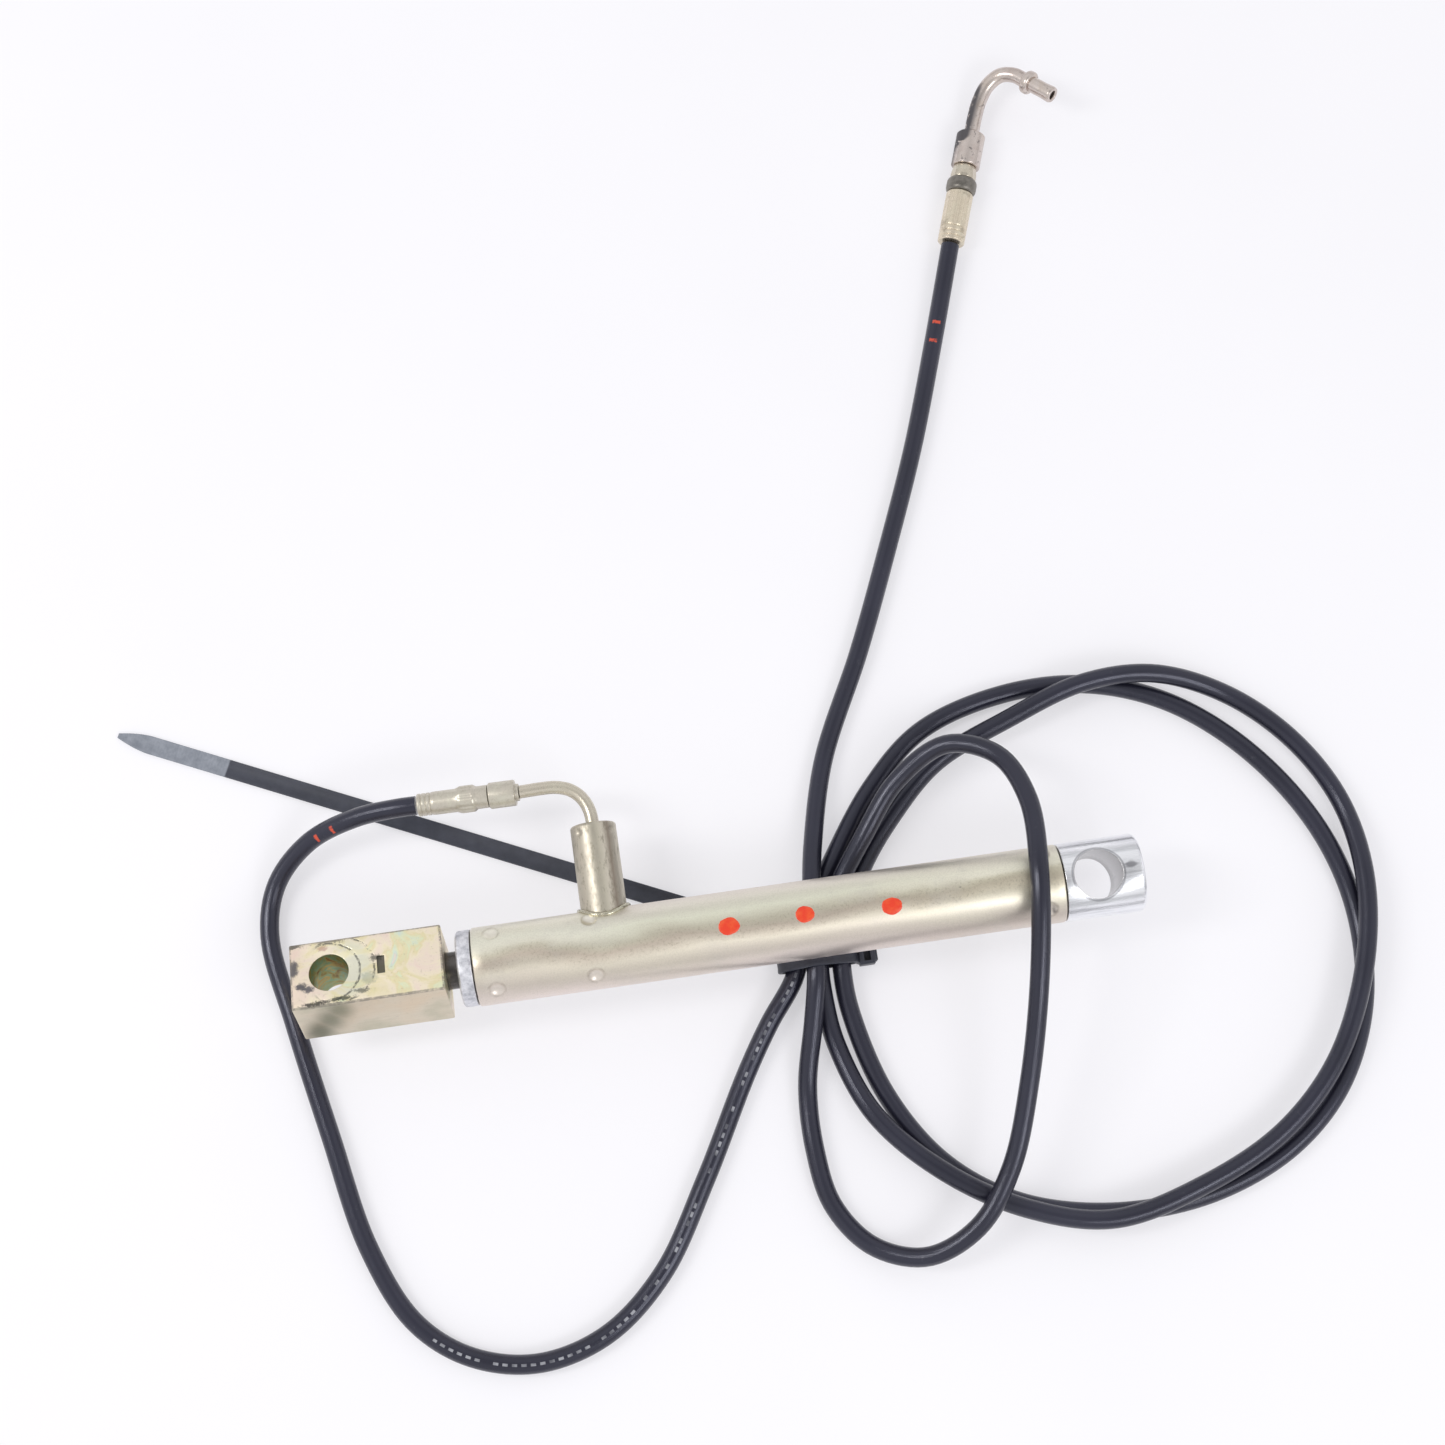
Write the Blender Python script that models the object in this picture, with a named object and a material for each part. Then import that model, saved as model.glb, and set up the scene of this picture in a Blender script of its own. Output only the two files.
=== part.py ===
"""Small single-acting hydraulic cylinder with its hose, end fitting and cable tie.

Metres, +Z up. The origin is the centre of the eye's flat end face, +X runs along the
barrel and out of that face, and +Y points the way the pressure port does. Everything
lies on a table at TABLE_Z, with the barrel level above the hose that passes under it.
"""
import math

import bmesh
import bpy
import numpy as np
from mathutils import Matrix, Vector

MM = 0.001

# Barrel
TUBE_R = 10.0 * MM
TUBE_BORE_R = 8.0 * MM
TUBE_LEFT = -170.5 * MM
TUBE_RIGHT = -20.5 * MM
FIT = 0.3 * MM                      # gap kept between two pieces that touch
DENT_ROWS = (-165.3 * MM, -140.3 * MM, -25.0 * MM)
DENT_BALL_R = 3.0 * MM
DENT_DEPTH = 0.7 * MM
EYE_X = -11.8 * MM
EYE_BORE_R = 6.2 * MM

# Pressure port
PORT_X = -136.4 * MM
PORT_R = 5.9 * MM
PORT_END_Y = 32.0 * MM
PORT_BORE_R = 2.5 * MM

# Rod, piston and the block on the rod's end
ROD_R = 4.75 * MM
ROD_BORE_R = 5.05 * MM
ROD_TIP = -192.5 * MM
SPIGOT_R = 3.0 * MM
PISTON_LEFT = -54.0 * MM
PISTON_RIGHT = -43.0 * MM
BLOCK_SIDE = 18.0 * MM
BLOCK_NEAR = -177.7 * MM
BLOCK_FAR = -216.0 * MM
BLOCK_BORE_X = -206.3 * MM
BLOCK_BORE_R = 5.0 * MM
BLOCK_EDGE = 0.6 * MM
BLOCK_ROLL = math.radians(-19.8)

# Table, hose and cable tie
TABLE_Z = -21.5 * MM
HOSE_R = 2.5 * MM
HOSE_POINTS = 124
TIE_WIDTH = 4.8 * MM
TIE_THICK = 1.2 * MM
SEGMENTS = 32

# The hose's route in millimetres: x, y and the height of its middle above the table.
ROUTE = (
    (-180.75, 43.7, 19.9), (-185.5, 43.8, 19.5), (-197.0, 43.5, 15.8), (-211.0, 40.0, 8.8),
    (-221.0, 31.0, 4.2),
    (-224.5, 18.0, 2.6), (-220.5, -6.0, 2.6), (-214.5, -35.5, 2.6), (-208.0, -65.0, 2.6),
    (-198.5, -85.0, 2.6), (-185.5, -95.5, 2.6), (-168.5, -99.5, 2.6), (-150.5, -95.0, 2.6),
    (-134.5, -82.0, 2.6), (-120.5, -60.5, 2.6), (-106.0, -35.0, 2.6), (-98.4, -23.4, 3.4),
    (-90.2, -12.6, 4.2), (-86.8, -3.0, 4.15), (-83.7, 5.0, 2.75), (-78.3, 12.8, 2.6),
    (-62.9, 34.0, 2.6),
    # first turn
    (-47.0, 47.8, 2.6), (-24.0, 54.5, 2.6), (-1.0, 54.0, 2.6), (20.0, 46.0, 2.6),
    (39.0, 29.5, 2.6), (53.0, 7.0, 2.6), (58.5, -16.0, 2.6), (56.0, -40.0, 2.6),
    (46.0, -60.0, 2.6), (30.0, -74.0, 2.6), (7.0, -82.5, 2.6), (-18.0, -83.5, 2.6),
    (-41.5, -77.5, 2.6), (-59.0, -65.0, 2.6), (-71.0, -46.0, 2.6), (-77.0, -23.5, 3.1),
    (-77.6, -12.8, 4.15), (-76.7, -5.0, 4.1), (-73.0, 3.5, 2.9), (-68.2, 13.5, 2.6), (-58.3, 26.0, 2.6),
    # second turn, which climbs over the first where they cross
    (-44.5, 38.6, 3.0), (-24.0, 47.0, 6.0), (-3.0, 53.5, 8.0), (16.5, 53.5, 7.0),
    (36.0, 45.5, 3.2), (51.0, 31.0, 2.6), (60.0, 13.0, 3.6), (61.5, -8.0, 7.0),
    (56.5, -31.0, 8.0), (45.0, -53.5, 7.4), (28.0, -69.5, 7.2), (5.0, -80.0, 7.7),
    (-19.0, -85.0, 7.8), (-40.0, -79.5, 7.8), (-59.5, -67.5, 7.8), (-75.0, -50.5, 6.0),
    (-82.0, -31.0, 3.3), (-83.4, -18.0, 4.0), (-83.0, -9.0, 4.05), (-80.4, 0.5, 4.6), (-75.0, 10.0, 6.6),
    (-67.0, 21.0, 8.4),
    # the loop that leans over the barrel
    (-56.8, 33.4, 12.2), (-43.0, 40.5, 17.5), (-31.0, 35.0, 23.5), (-26.0, 22.0, 29.5),
    (-27.0, 3.0, 35.1), (-30.4, -21.5, 31.0), (-36.5, -48.5, 21.5), (-44.0, -69.0, 16.0),
    (-54.0, -82.0, 12.0), (-67.5, -87.5, 7.2), (-80.5, -83.0, 3.6), (-89.0, -71.5, 2.6),
    (-91.5, -57.0, 2.6), (-91.0, -41.0, 3.0), (-87.2, -25.0, 7.0), (-84.9, -14.5, 9.3),
    (-84.0, -7.0, 9.3), (-83.3, 1.5, 8.75), (-82.3, 10.5, 8.1), (-80.2, 21.5, 5.5),
    # the far end
    (-73.8, 43.8, 2.6), (-60.0, 71.5, 2.6), (-48.0, 98.5, 2.6), (-36.5, 126.0, 2.6),
    (-26.5, 154.0, 3.0), (-17.0, 182.2, 4.3),
)

# Fittings: where each one starts, in millimetres, and its height above the table.
NEAR_START = (-154.0, 43.1, 21.5)
FAR_START = (-16.8, 182.7, 4.3)
FAR_END = (-5.7, 214.2, 4.3)
NEAR_PIPE = (
    (-136.4, 22.0, 21.5), (-136.4, 33.0, 21.5), (-136.9, 36.4, 21.5), (-138.5, 39.6, 21.5),
    (-141.2, 41.9, 21.5), (-144.6, 43.0, 21.5), (-148.2, 43.2, 21.5), (-153.7, 43.1, 21.5),
)
FAR_PIPE = (
    (-5.6, 214.5, 4.3), (-4.2, 218.4, 4.4), (-2.4, 222.6, 5.0), (0.6, 226.8, 6.3),
    (4.4, 228.7, 7.9), (8.0, 227.5, 9.5), (10.3, 225.1, 10.6),
)
NIPPLE_START = (10.6, 224.8, 10.75)
NIPPLE_TIP = (16.9, 217.7, 14.0)
NEAR_PIPE_R = 1.7 * MM
FAR_PIPE_R = 2.1 * MM

# Cable tie: the ring round the hose strands, and the tail that lies on the table.
TIE_Y = -8.7 * MM
TIE_CORNER = 3.1 * MM
TIE_CORNERS = ((-77.0, 4.3), (-84.4, 9.1), (-90.0, 4.3))
TIE_RIGHT = -73.9 * MM
TIE_TIP = Vector((-259.3, 77.5, 0.0)) * MM
TIE_TAIL_END = Vector((-79.0, -6.73, 0.0)) * MM
TIE_POINT = 9.0 * MM
TIE_HEAD = (5.4 * MM, 6.4 * MM, 6.4 * MM)


def start_empty():
    for old in list(bpy.data.objects):
        bpy.data.objects.remove(old, do_unlink=True)


def material(name, colour, metallic, roughness):
    made = bpy.data.materials.new(name)
    made.use_nodes = True
    shader = made.node_tree.nodes["Principled BSDF"]
    shader.inputs["Base Color"].default_value = (*colour, 1.0)
    shader.inputs["Metallic"].default_value = metallic
    shader.inputs["Roughness"].default_value = roughness
    return made


def add(name, mesh, finish, parent=None):
    """Put a mesh in the scene, shaded smooth with its real edges kept sharp."""
    mesh.materials.append(finish)
    mesh.shade_smooth()
    mesh.set_sharp_from_angle(angle=math.radians(32))
    piece = bpy.data.objects.new(name, mesh)
    bpy.context.collection.objects.link(piece)
    piece.parent = parent
    return piece


def empty(name, location=(0, 0, 0), rotation=(0, 0, 0)):
    holder = bpy.data.objects.new(name, None)
    holder.location = location
    holder.rotation_euler = rotation
    bpy.context.collection.objects.link(holder)
    return holder


def mesh_from(work, name):
    bmesh.ops.remove_doubles(work, verts=work.verts, dist=1e-7)
    bmesh.ops.recalc_face_normals(work, faces=work.faces)
    mesh = bpy.data.meshes.new(name)
    work.to_mesh(mesh)
    work.free()
    return mesh


def turned_mesh(name, profile, segments=SEGMENTS):
    """Spin a closed outline of (along X, radius) points round the X axis."""
    work = bmesh.new()
    ring = [work.verts.new((along, 0.0, radius)) for along, radius in profile]
    pairs = list(zip(ring, ring[1:] + ring[:1]))
    edges = [work.edges.new(pair) for pair in pairs if pair[0].co.z + pair[1].co.z > 0]
    bmesh.ops.spin(
        work, geom=ring + edges, cent=(0, 0, 0), axis=(1, 0, 0),
        angle=math.tau, steps=segments, use_merge=True)
    return mesh_from(work, name)


def turned(name, profile_mm, finish, parent=None, segments=SEGMENTS):
    profile = [(along * MM, radius * MM) for along, radius in profile_mm]
    return add(name, turned_mesh(name, profile, segments), finish, parent)


def ring(name, left, right, inner, outer, finish, parent=None):
    """A plain ring, in millimetres, with a small chamfer on its outer edges."""
    cut = min(0.3, (right - left) / 5)
    outline = (
        (left, inner), (left, outer - cut), (left + cut, outer),
        (right - cut, outer), (right, outer - cut), (right, inner))
    return turned(name, outline, finish, parent)


def o_ring(name, middle, major, minor, finish, parent=None):
    turns = [math.tau * k / 8 for k in range(8)]
    outline = [(middle + minor * math.cos(a), major + minor * math.sin(a)) for a in turns]
    return turned(name, outline, finish, parent)


def aim(piece, start, direction):
    """Point a turned piece's own X axis along a direction, from a start point."""
    piece.rotation_mode = "QUATERNION"
    piece.rotation_quaternion = Vector(direction).to_track_quat("X", "Z")
    piece.location = start


def cylinder(name, radius, length, finish=None, segments=SEGMENTS):
    work = bmesh.new()
    bmesh.ops.create_cone(
        work, cap_ends=True, segments=segments, radius1=radius, radius2=radius, depth=length)
    mesh = bpy.data.meshes.new(name)
    work.to_mesh(mesh)
    work.free()
    piece = bpy.data.objects.new(name, mesh)
    if finish:
        mesh.materials.append(finish)
    bpy.context.collection.objects.link(piece)
    return piece


def cut(piece, cutter, operation="DIFFERENCE"):
    """Cut a piece with a hidden tool body, or join the tool body to it."""
    cutter.hide_render = True
    cutter.display_type = "WIRE"
    change = piece.modifiers.new(cutter.name, "BOOLEAN")
    change.operation = operation
    change.solver = "EXACT"
    change.object = cutter


def spot(point):
    """A listed point (x, y, height above the table) as a place in metres."""
    return Vector((point[0] * MM, point[1] * MM, TABLE_Z + point[2] * MM))


def smooth_path(points, per_span=24):
    """Centripetal Catmull-Rom curve through every listed point."""
    places = [np.array(spot(point)) for point in points]
    first = 2 * places[0] - places[1]
    last = 2 * places[-1] - places[-2]
    places = [first] + places + [last]
    path = []
    for p0, p1, p2, p3 in zip(places, places[1:], places[2:], places[3:]):
        t1 = np.linalg.norm(p1 - p0) ** 0.5
        t2 = t1 + np.linalg.norm(p2 - p1) ** 0.5
        t3 = t2 + np.linalg.norm(p3 - p2) ** 0.5
        for step in range(per_span):
            t = t1 + (t2 - t1) * step / per_span
            a1 = (t1 - t) / t1 * p0 + t / t1 * p1
            a2 = (t2 - t) / (t2 - t1) * p1 + (t - t1) / (t2 - t1) * p2
            a3 = (t3 - t) / (t3 - t2) * p2 + (t - t2) / (t3 - t2) * p3
            b1 = (t2 - t) / t2 * a1 + t / t2 * a2
            b2 = (t3 - t) / (t3 - t1) * a2 + (t - t1) / (t3 - t1) * a3
            path.append((t2 - t) / (t2 - t1) * b1 + (t - t1) / (t2 - t1) * b2)
    path.append(places[-2])
    return np.array(path)


def thinned(path, count):
    """Keep a number of points along a path, closer together where it bends."""
    steps = np.linalg.norm(np.diff(path, axis=0), axis=1)
    along = np.concatenate(([0.0], np.cumsum(steps)))
    heading = np.diff(path, axis=0) / steps[:, None]
    turn = np.linalg.norm(np.diff(heading, axis=0), axis=1)
    turned_by = np.concatenate(([0.0, 0.0], np.cumsum(turn)))
    need = along / along[-1] + 1.4 * turned_by / turned_by[-1]
    wanted = np.linspace(0.0, need[-1], count)
    return np.stack([np.interp(wanted, need, path[:, k]) for k in range(3)], axis=1)


def tube_curve(name, path, radius, finish, resolution=2):
    """A round tube with closed ends along a path."""
    curve = bpy.data.curves.new(name, "CURVE")
    curve.dimensions = "3D"
    curve.bevel_depth = radius
    curve.bevel_resolution = resolution
    curve.use_fill_caps = True
    spline = curve.splines.new("POLY")
    spline.points.add(len(path) - 1)
    for point, place in zip(spline.points, path):
        point.co = (*place, 1.0)
    curve.materials.append(finish)
    piece = bpy.data.objects.new(name, curve)
    bpy.context.collection.objects.link(piece)
    return piece


def make_barrel(finishes):
    tube = turned("cylinder_tube", (
        (-170.5, 8.4), (-170.1, 8.0), (-20.9, 8.0), (-20.5, 8.4),
        (-20.5, 9.7), (-20.8, 10.0), (-170.2, 10.0), (-170.5, 9.7)), finishes["zinc"])
    dents = bmesh.new()
    for row in DENT_ROWS:
        for quarter in range(4):
            angle = math.radians(45 + 90 * quarter)
            reach = TUBE_R + DENT_BALL_R - DENT_DEPTH
            place = Vector((row, reach * math.cos(angle), reach * math.sin(angle)))
            bmesh.ops.create_icosphere(
                dents, subdivisions=2, radius=DENT_BALL_R, matrix=Matrix.Translation(place))
    dent_tool = add("dent_tool", mesh_from(dents, "dent_tool"), finishes["zinc"])
    cut(tube, dent_tool)
    port_tool = cylinder("port_tool", PORT_BORE_R, 8 * MM)
    port_tool.location = (PORT_X, TUBE_R, 0)
    port_tool.rotation_euler = (math.pi / 2, 0, 0)
    cut(tube, port_tool)

    plug = turned("eye_plug", (
        (-37.0, 0.0), (-37.0, 7.2), (-36.5, 7.7), (-33.4, 7.7), (-33.4, 6.3), (-30.6, 6.3),
        (-30.6, 7.7), (-26.9, 7.7), (-26.9, 6.8), (-23.1, 6.8), (-23.1, 7.7), (-20.2, 7.7),
        (-20.2, 10.0), (-0.8, 10.0), (0.0, 9.2), (0.0, 0.0)), finishes["aluminium"])
    eye_tool = cylinder("eye_tool", EYE_BORE_R, 30 * MM, segments=40)
    eye_tool.location = (EYE_X, 0, 0)
    cut(plug, eye_tool)
    o_ring("plug_o_ring", -32.0, 7.15, 0.65, finishes["rubber"])


def make_gland(finishes):
    turned("gland", (
        (-174.5, 9.2), (-174.1, 9.7), (-170.8, 9.7), (-170.8, 7.7), (-167.0, 7.7),
        (-167.0, 6.6), (-163.6, 6.6), (-163.6, 7.7), (-156.5, 7.7), (-156.5, 6.3),
        (-153.7, 6.3), (-153.7, 7.7), (-142.0, 7.7), (-142.0, 6.4), (-133.5, 6.4),
        (-133.5, 7.1), (-131.0, 7.1), (-131.0, 5.05), (-143.4, 5.05), (-143.4, 5.9),
        (-152.6, 5.9), (-152.6, 5.05), (-157.9, 5.05), (-157.9, 6.6), (-161.6, 6.6),
        (-161.6, 5.05), (-171.3, 5.05), (-171.3, 6.4), (-174.5, 6.4)), finishes["gland"])
    o_ring("gland_o_ring", -155.1, 7.15, 0.65, finishes["rubber"])
    ring("rod_seal", -161.4, -158.1, 5.0, 6.4, finishes["rubber"])
    ring("rod_wiper", -174.2, -171.5, 5.0, 6.2, finishes["rubber"])
    ring("guide_bush", -152.4, -143.6, 4.85, 5.7, finishes["bronze"])


def make_port(finishes):
    """The sleeve, its seal and snap ring, and the pipe that plugs into it."""
    sleeve = turned("port_sleeve", (
        (7.0, 2.5), (20.0, 2.5), (21.5, 3.9), (32.0, 3.9), (32.0, 4.9), (31.0, 5.9),
        (7.0, 5.9)), finishes["zinc"])
    aim(sleeve, (PORT_X, 0, 0), (0, 1, 0))
    saddle = cylinder("saddle_tool", TUBE_R + FIT, 40 * MM, segments=64)
    saddle.rotation_euler = (0, math.pi / 2, 0)
    saddle.location = (PORT_X, 0, 0)
    cut(sleeve, saddle)
    seal = o_ring("port_o_ring", 23.6, 2.8, 0.7, finishes["rubber"])
    aim(seal, (PORT_X, 0, 0), (0, 1, 0))
    snap = ring("port_retaining_ring", 28.6, 30.0, 2.0, 3.6, finishes["steel"])
    aim(snap, (PORT_X, 0, 0), (0, 1, 0))
    near = smooth_path(NEAR_PIPE, 3)
    tube_curve("near_pipe", near, NEAR_PIPE_R, finishes["zinc"])


def make_near_fitting(finishes):
    start = spot(NEAR_START)
    way = spot(ROUTE[0]) - start
    collar = turned("near_collar", (
        (0.0, 0.0), (0.0, 3.1), (0.3, 3.4), (7.5, 3.4), (7.8, 3.1), (7.8, 0.0)),
        finishes["zinc"])
    aim(collar, start, way)
    ferrule = turned("near_ferrule", (
        (8.1, 0.0), (8.1, 2.8), (8.4, 2.95), (10.4, 2.95), (12.0, 3.6), (14.4, 3.7),
        (17.0, 3.25), (22.4, 3.2), (22.8, 2.9), (23.2, 3.2), (23.8, 3.2), (24.2, 2.9),
        (24.6, 3.2), (26.0, 3.2), (26.3, 2.9), (26.3, 0.0)), finishes["zinc"])
    aim(ferrule, start, way)


def make_far_fitting(finishes):
    start = spot(FAR_START)
    way = spot(FAR_END) - start
    ferrule = turned("far_ferrule", (
        (0.0, 0.0), (0.0, 3.5), (0.4, 3.75), (1.2, 3.75), (1.6, 3.4), (2.0, 3.75),
        (2.6, 3.75), (3.0, 3.4), (3.4, 3.75), (4.0, 3.75), (4.4, 3.4), (4.8, 3.75),
        (14.7, 3.75), (14.7, 0.0)), finishes["zinc"])
    aim(ferrule, start, way)
    band = turned("far_band", (
        (15.0, 0.0), (15.0, 3.8), (15.5, 4.15), (18.6, 4.15), (19.1, 3.8), (19.1, 0.0)),
        finishes["dark_steel"])
    aim(band, start, way)
    neck = turned("far_neck", (
        (19.4, 0.0), (19.4, 3.3), (20.2, 3.6), (21.8, 3.6), (22.7, 3.2), (22.7, 0.0)),
        finishes["zinc"])
    aim(neck, start, way)
    collar = turned("far_collar", (
        (23.0, 0.0), (23.0, 3.6), (23.4, 4.0), (32.7, 4.0), (33.1, 3.6), (33.1, 0.0)),
        finishes["nickel"])
    aim(collar, start, way)
    tube_curve("far_pipe", smooth_path(FAR_PIPE, 3), FAR_PIPE_R, finishes["nickel"])
    start = spot(NIPPLE_START)
    way = spot(NIPPLE_TIP) - start
    flange = turned("far_flange", (
        (0.0, 0.0), (0.0, 2.6), (0.5, 3.3), (1.9, 3.3), (2.4, 2.6), (2.4, 0.0)),
        finishes["nickel"])
    aim(flange, start, way)
    nipple = turned("far_nipple", (
        (2.7, 0.0), (2.7, 2.35), (9.4, 2.35), (9.9, 2.0), (9.9, 1.3), (3.7, 1.3),
        (3.7, 0.0)), finishes["nickel"])
    aim(nipple, start, way)


def make_rod(finishes):
    """Everything that turns with the rod hangs on one empty on the barrel's axis."""
    axis = empty("rod_axis")
    turned("rod", (
        (-192.5, 0.0), (-192.5, 4.25), (-192.0, 4.75), (-54.3, 4.75), (-54.3, 3.0),
        (-37.9, 3.0), (-37.4, 2.5), (-37.4, 0.0)), finishes["dark_steel"], axis)
    turned("piston", (
        (-54.0, 3.2), (-54.0, 7.4), (-53.7, 7.7), (-52.3, 7.7), (-52.3, 6.2), (-48.7, 6.2),
        (-48.7, 7.7), (-47.0, 7.7), (-47.0, 6.9), (-44.2, 6.9), (-44.2, 7.7), (-43.3, 7.7),
        (-43.0, 7.4), (-43.0, 3.2)), finishes["aluminium"], axis)
    hexagon = bmesh.new()
    turn = Matrix.Translation((-40.5 * MM, 0, 0)) @ Matrix.Rotation(math.pi / 2, 4, "Y")
    bmesh.ops.create_cone(
        hexagon, cap_ends=True, segments=6, radius1=5.6 * MM, radius2=5.6 * MM,
        depth=4.4 * MM, matrix=turn)
    nut = add("piston_nut", mesh_from(hexagon, "piston_nut"), finishes["steel"], axis)
    thread_tool = cylinder("thread_tool", SPIGOT_R + 0.2 * MM, 12 * MM)
    thread_tool.rotation_euler = (0, math.pi / 2, 0)
    thread_tool.location = (-40.5 * MM, 0, 0)
    cut(nut, thread_tool)

    roll = empty("block_roll", rotation=(BLOCK_ROLL, 0, 0))
    roll.parent = axis
    solid = bmesh.new()
    bmesh.ops.create_cube(solid, size=1.0)
    size = Vector((BLOCK_NEAR - BLOCK_FAR, BLOCK_SIDE, BLOCK_SIDE))
    bmesh.ops.scale(solid, vec=size, verts=solid.verts)
    middle = Vector(((BLOCK_NEAR + BLOCK_FAR) / 2, 0, 0))
    bmesh.ops.translate(solid, vec=middle, verts=solid.verts)
    bmesh.ops.bevel(
        solid, geom=solid.edges[:], offset=BLOCK_EDGE, segments=1, affect="EDGES")
    block = add("rod_end_block", mesh_from(solid, "rod_end_block"), finishes["zinc"], roll)
    bore_tool = cylinder("block_bore_tool", BLOCK_BORE_R, 30 * MM)
    bore_tool.parent = roll
    bore_tool.location = (BLOCK_BORE_X, 0, 0)
    cut(block, bore_tool)
    pocket_tool = cylinder("rod_pocket_tool", ROD_BORE_R, 30 * MM)
    pocket_tool.parent = roll
    pocket_tool.rotation_euler = (0, math.pi / 2, 0)
    pocket_tool.location = (ROD_TIP - FIT + 15 * MM, 0, 0)
    cut(block, pocket_tool)


def make_piston_seals(finishes):
    ring("piston_seal", -52.1, -48.9, 6.4, 7.8, finishes["rubber"])
    ring("piston_guide_ring", -46.8, -44.4, 7.1, 7.9, finishes["bronze"])


def tie_ring_outline():
    """The ring's inner outline, a band stretched round three corners."""
    corners = [Vector(corner) * MM for corner in TIE_CORNERS]
    outline = []
    for k, corner in enumerate(corners):
        before = corner - corners[k - 1]
        after = corners[(k + 1) % 3] - corner
        first = math.atan2(-before.x, before.y)
        last = math.atan2(-after.x, after.y)
        turn = (last - first) % math.tau
        for step in range(7):
            angle = first + turn * step / 6
            reach = Vector((math.cos(angle), math.sin(angle))) * TIE_CORNER
            outline.append(tuple(corner + reach))
    return outline


def make_cable_tie(finishes):
    """One moulded piece: the ring, the head on its right and the tail on the table."""
    inner = tie_ring_outline()
    loop = bmesh.new()
    near, far = TIE_Y - TIE_WIDTH / 2, TIE_Y + TIE_WIDTH / 2
    count = len(inner)
    rows = []
    for y, grow in ((near, 0.0), (near, TIE_THICK), (far, TIE_THICK), (far, 0.0)):
        row = []
        for k, (x, height) in enumerate(inner):
            before = Vector(inner[k - 1])
            after = Vector(inner[(k + 1) % count])
            along = (after - before).normalized()
            place = Vector((x, height)) + grow * Vector((along.y, -along.x))
            row.append(loop.verts.new((place.x, y, TABLE_Z + place.y)))
        rows.append(row)
    for row, other in zip(rows, rows[1:] + rows[:1]):
        for k in range(count):
            m = (k + 1) % count
            loop.faces.new((row[k], row[m], other[m], other[k]))
    strap = add("cable_tie", mesh_from(loop, "cable_tie"), finishes["nylon"])

    way = (TIE_TAIL_END - TIE_TIP).normalized()
    side = Vector((-way.y, way.x, 0)) * TIE_WIDTH / 2
    shoulder = TIE_TIP + way * TIE_POINT
    outline = (
        TIE_TIP + 0.25 * side, shoulder + side, TIE_TAIL_END + side,
        TIE_TAIL_END - side, shoulder - side, TIE_TIP - 0.25 * side)
    tail = bmesh.new()
    floor = Vector((0, 0, TABLE_Z))
    face = tail.faces.new([tail.verts.new(place + floor) for place in outline])
    grown = bmesh.ops.extrude_face_region(tail, geom=[face])
    top = [item for item in grown["geom"] if isinstance(item, bmesh.types.BMVert)]
    bmesh.ops.translate(tail, vec=(0, 0, TIE_THICK * 0.97), verts=top)
    tail_tool = add("tail_tool", mesh_from(tail, "tail_tool"), finishes["nylon"])
    cut(strap, tail_tool, "UNION")

    head = bmesh.new()
    bmesh.ops.create_cube(head, size=1.0)
    bmesh.ops.scale(head, vec=TIE_HEAD, verts=head.verts)
    place = Vector((TIE_RIGHT + TIE_HEAD[0] / 2 + 0.5 * MM, TIE_Y, TABLE_Z + 0.05 * MM))
    place.z += TIE_HEAD[2] / 2
    bmesh.ops.translate(head, vec=place, verts=head.verts)
    bmesh.ops.bevel(head, geom=head.edges[:], offset=0.6 * MM, segments=1, affect="EDGES")
    head_tool = add("head_tool", mesh_from(head, "head_tool"), finishes["nylon"])
    cut(strap, head_tool, "UNION")


def make_hose(finishes):
    path = thinned(smooth_path(ROUTE), HOSE_POINTS)
    path[:, 2] = np.maximum(path[:, 2], TABLE_Z + HOSE_R)
    tube_curve("hose", path, HOSE_R, finishes["hose"])


def main():
    start_empty()
    finishes = {
        "zinc": material("zinc_yellow", (0.62, 0.56, 0.42), 0.9, 0.35),
        "aluminium": material("aluminium", (0.80, 0.80, 0.82), 1.0, 0.22),
        "gland": material("gland_aluminium", (0.55, 0.56, 0.58), 0.9, 0.5),
        "nickel": material("nickel", (0.58, 0.52, 0.46), 0.95, 0.3),
        "steel": material("steel", (0.45, 0.45, 0.46), 1.0, 0.4),
        "dark_steel": material("dark_steel", (0.06, 0.055, 0.05), 0.7, 0.4),
        "bronze": material("bronze", (0.50, 0.32, 0.16), 0.9, 0.4),
        "rubber": material("rubber", (0.02, 0.02, 0.02), 0.0, 0.7),
        "hose": material("hose_black", (0.018, 0.019, 0.022), 0.0, 0.38),
        "nylon": material("nylon_black", (0.02, 0.022, 0.026), 0.0, 0.5),
    }
    make_barrel(finishes)
    make_gland(finishes)
    make_port(finishes)
    make_near_fitting(finishes)
    make_hose(finishes)
    make_far_fitting(finishes)
    make_rod(finishes)
    make_piston_seals(finishes)
    make_cable_tie(finishes)


main()
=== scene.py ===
"""The looks of a small hydraulic cylinder with its hose, fittings and cable tie.

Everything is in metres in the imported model's frame: the origin is the centre of the
eye's end face, +X runs out of that face, +Y is the port's side and +Z is up.
"""

import functools
import math

import bmesh
import bpy
import numpy as np
from mathutils import Matrix, Vector, noise


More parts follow.
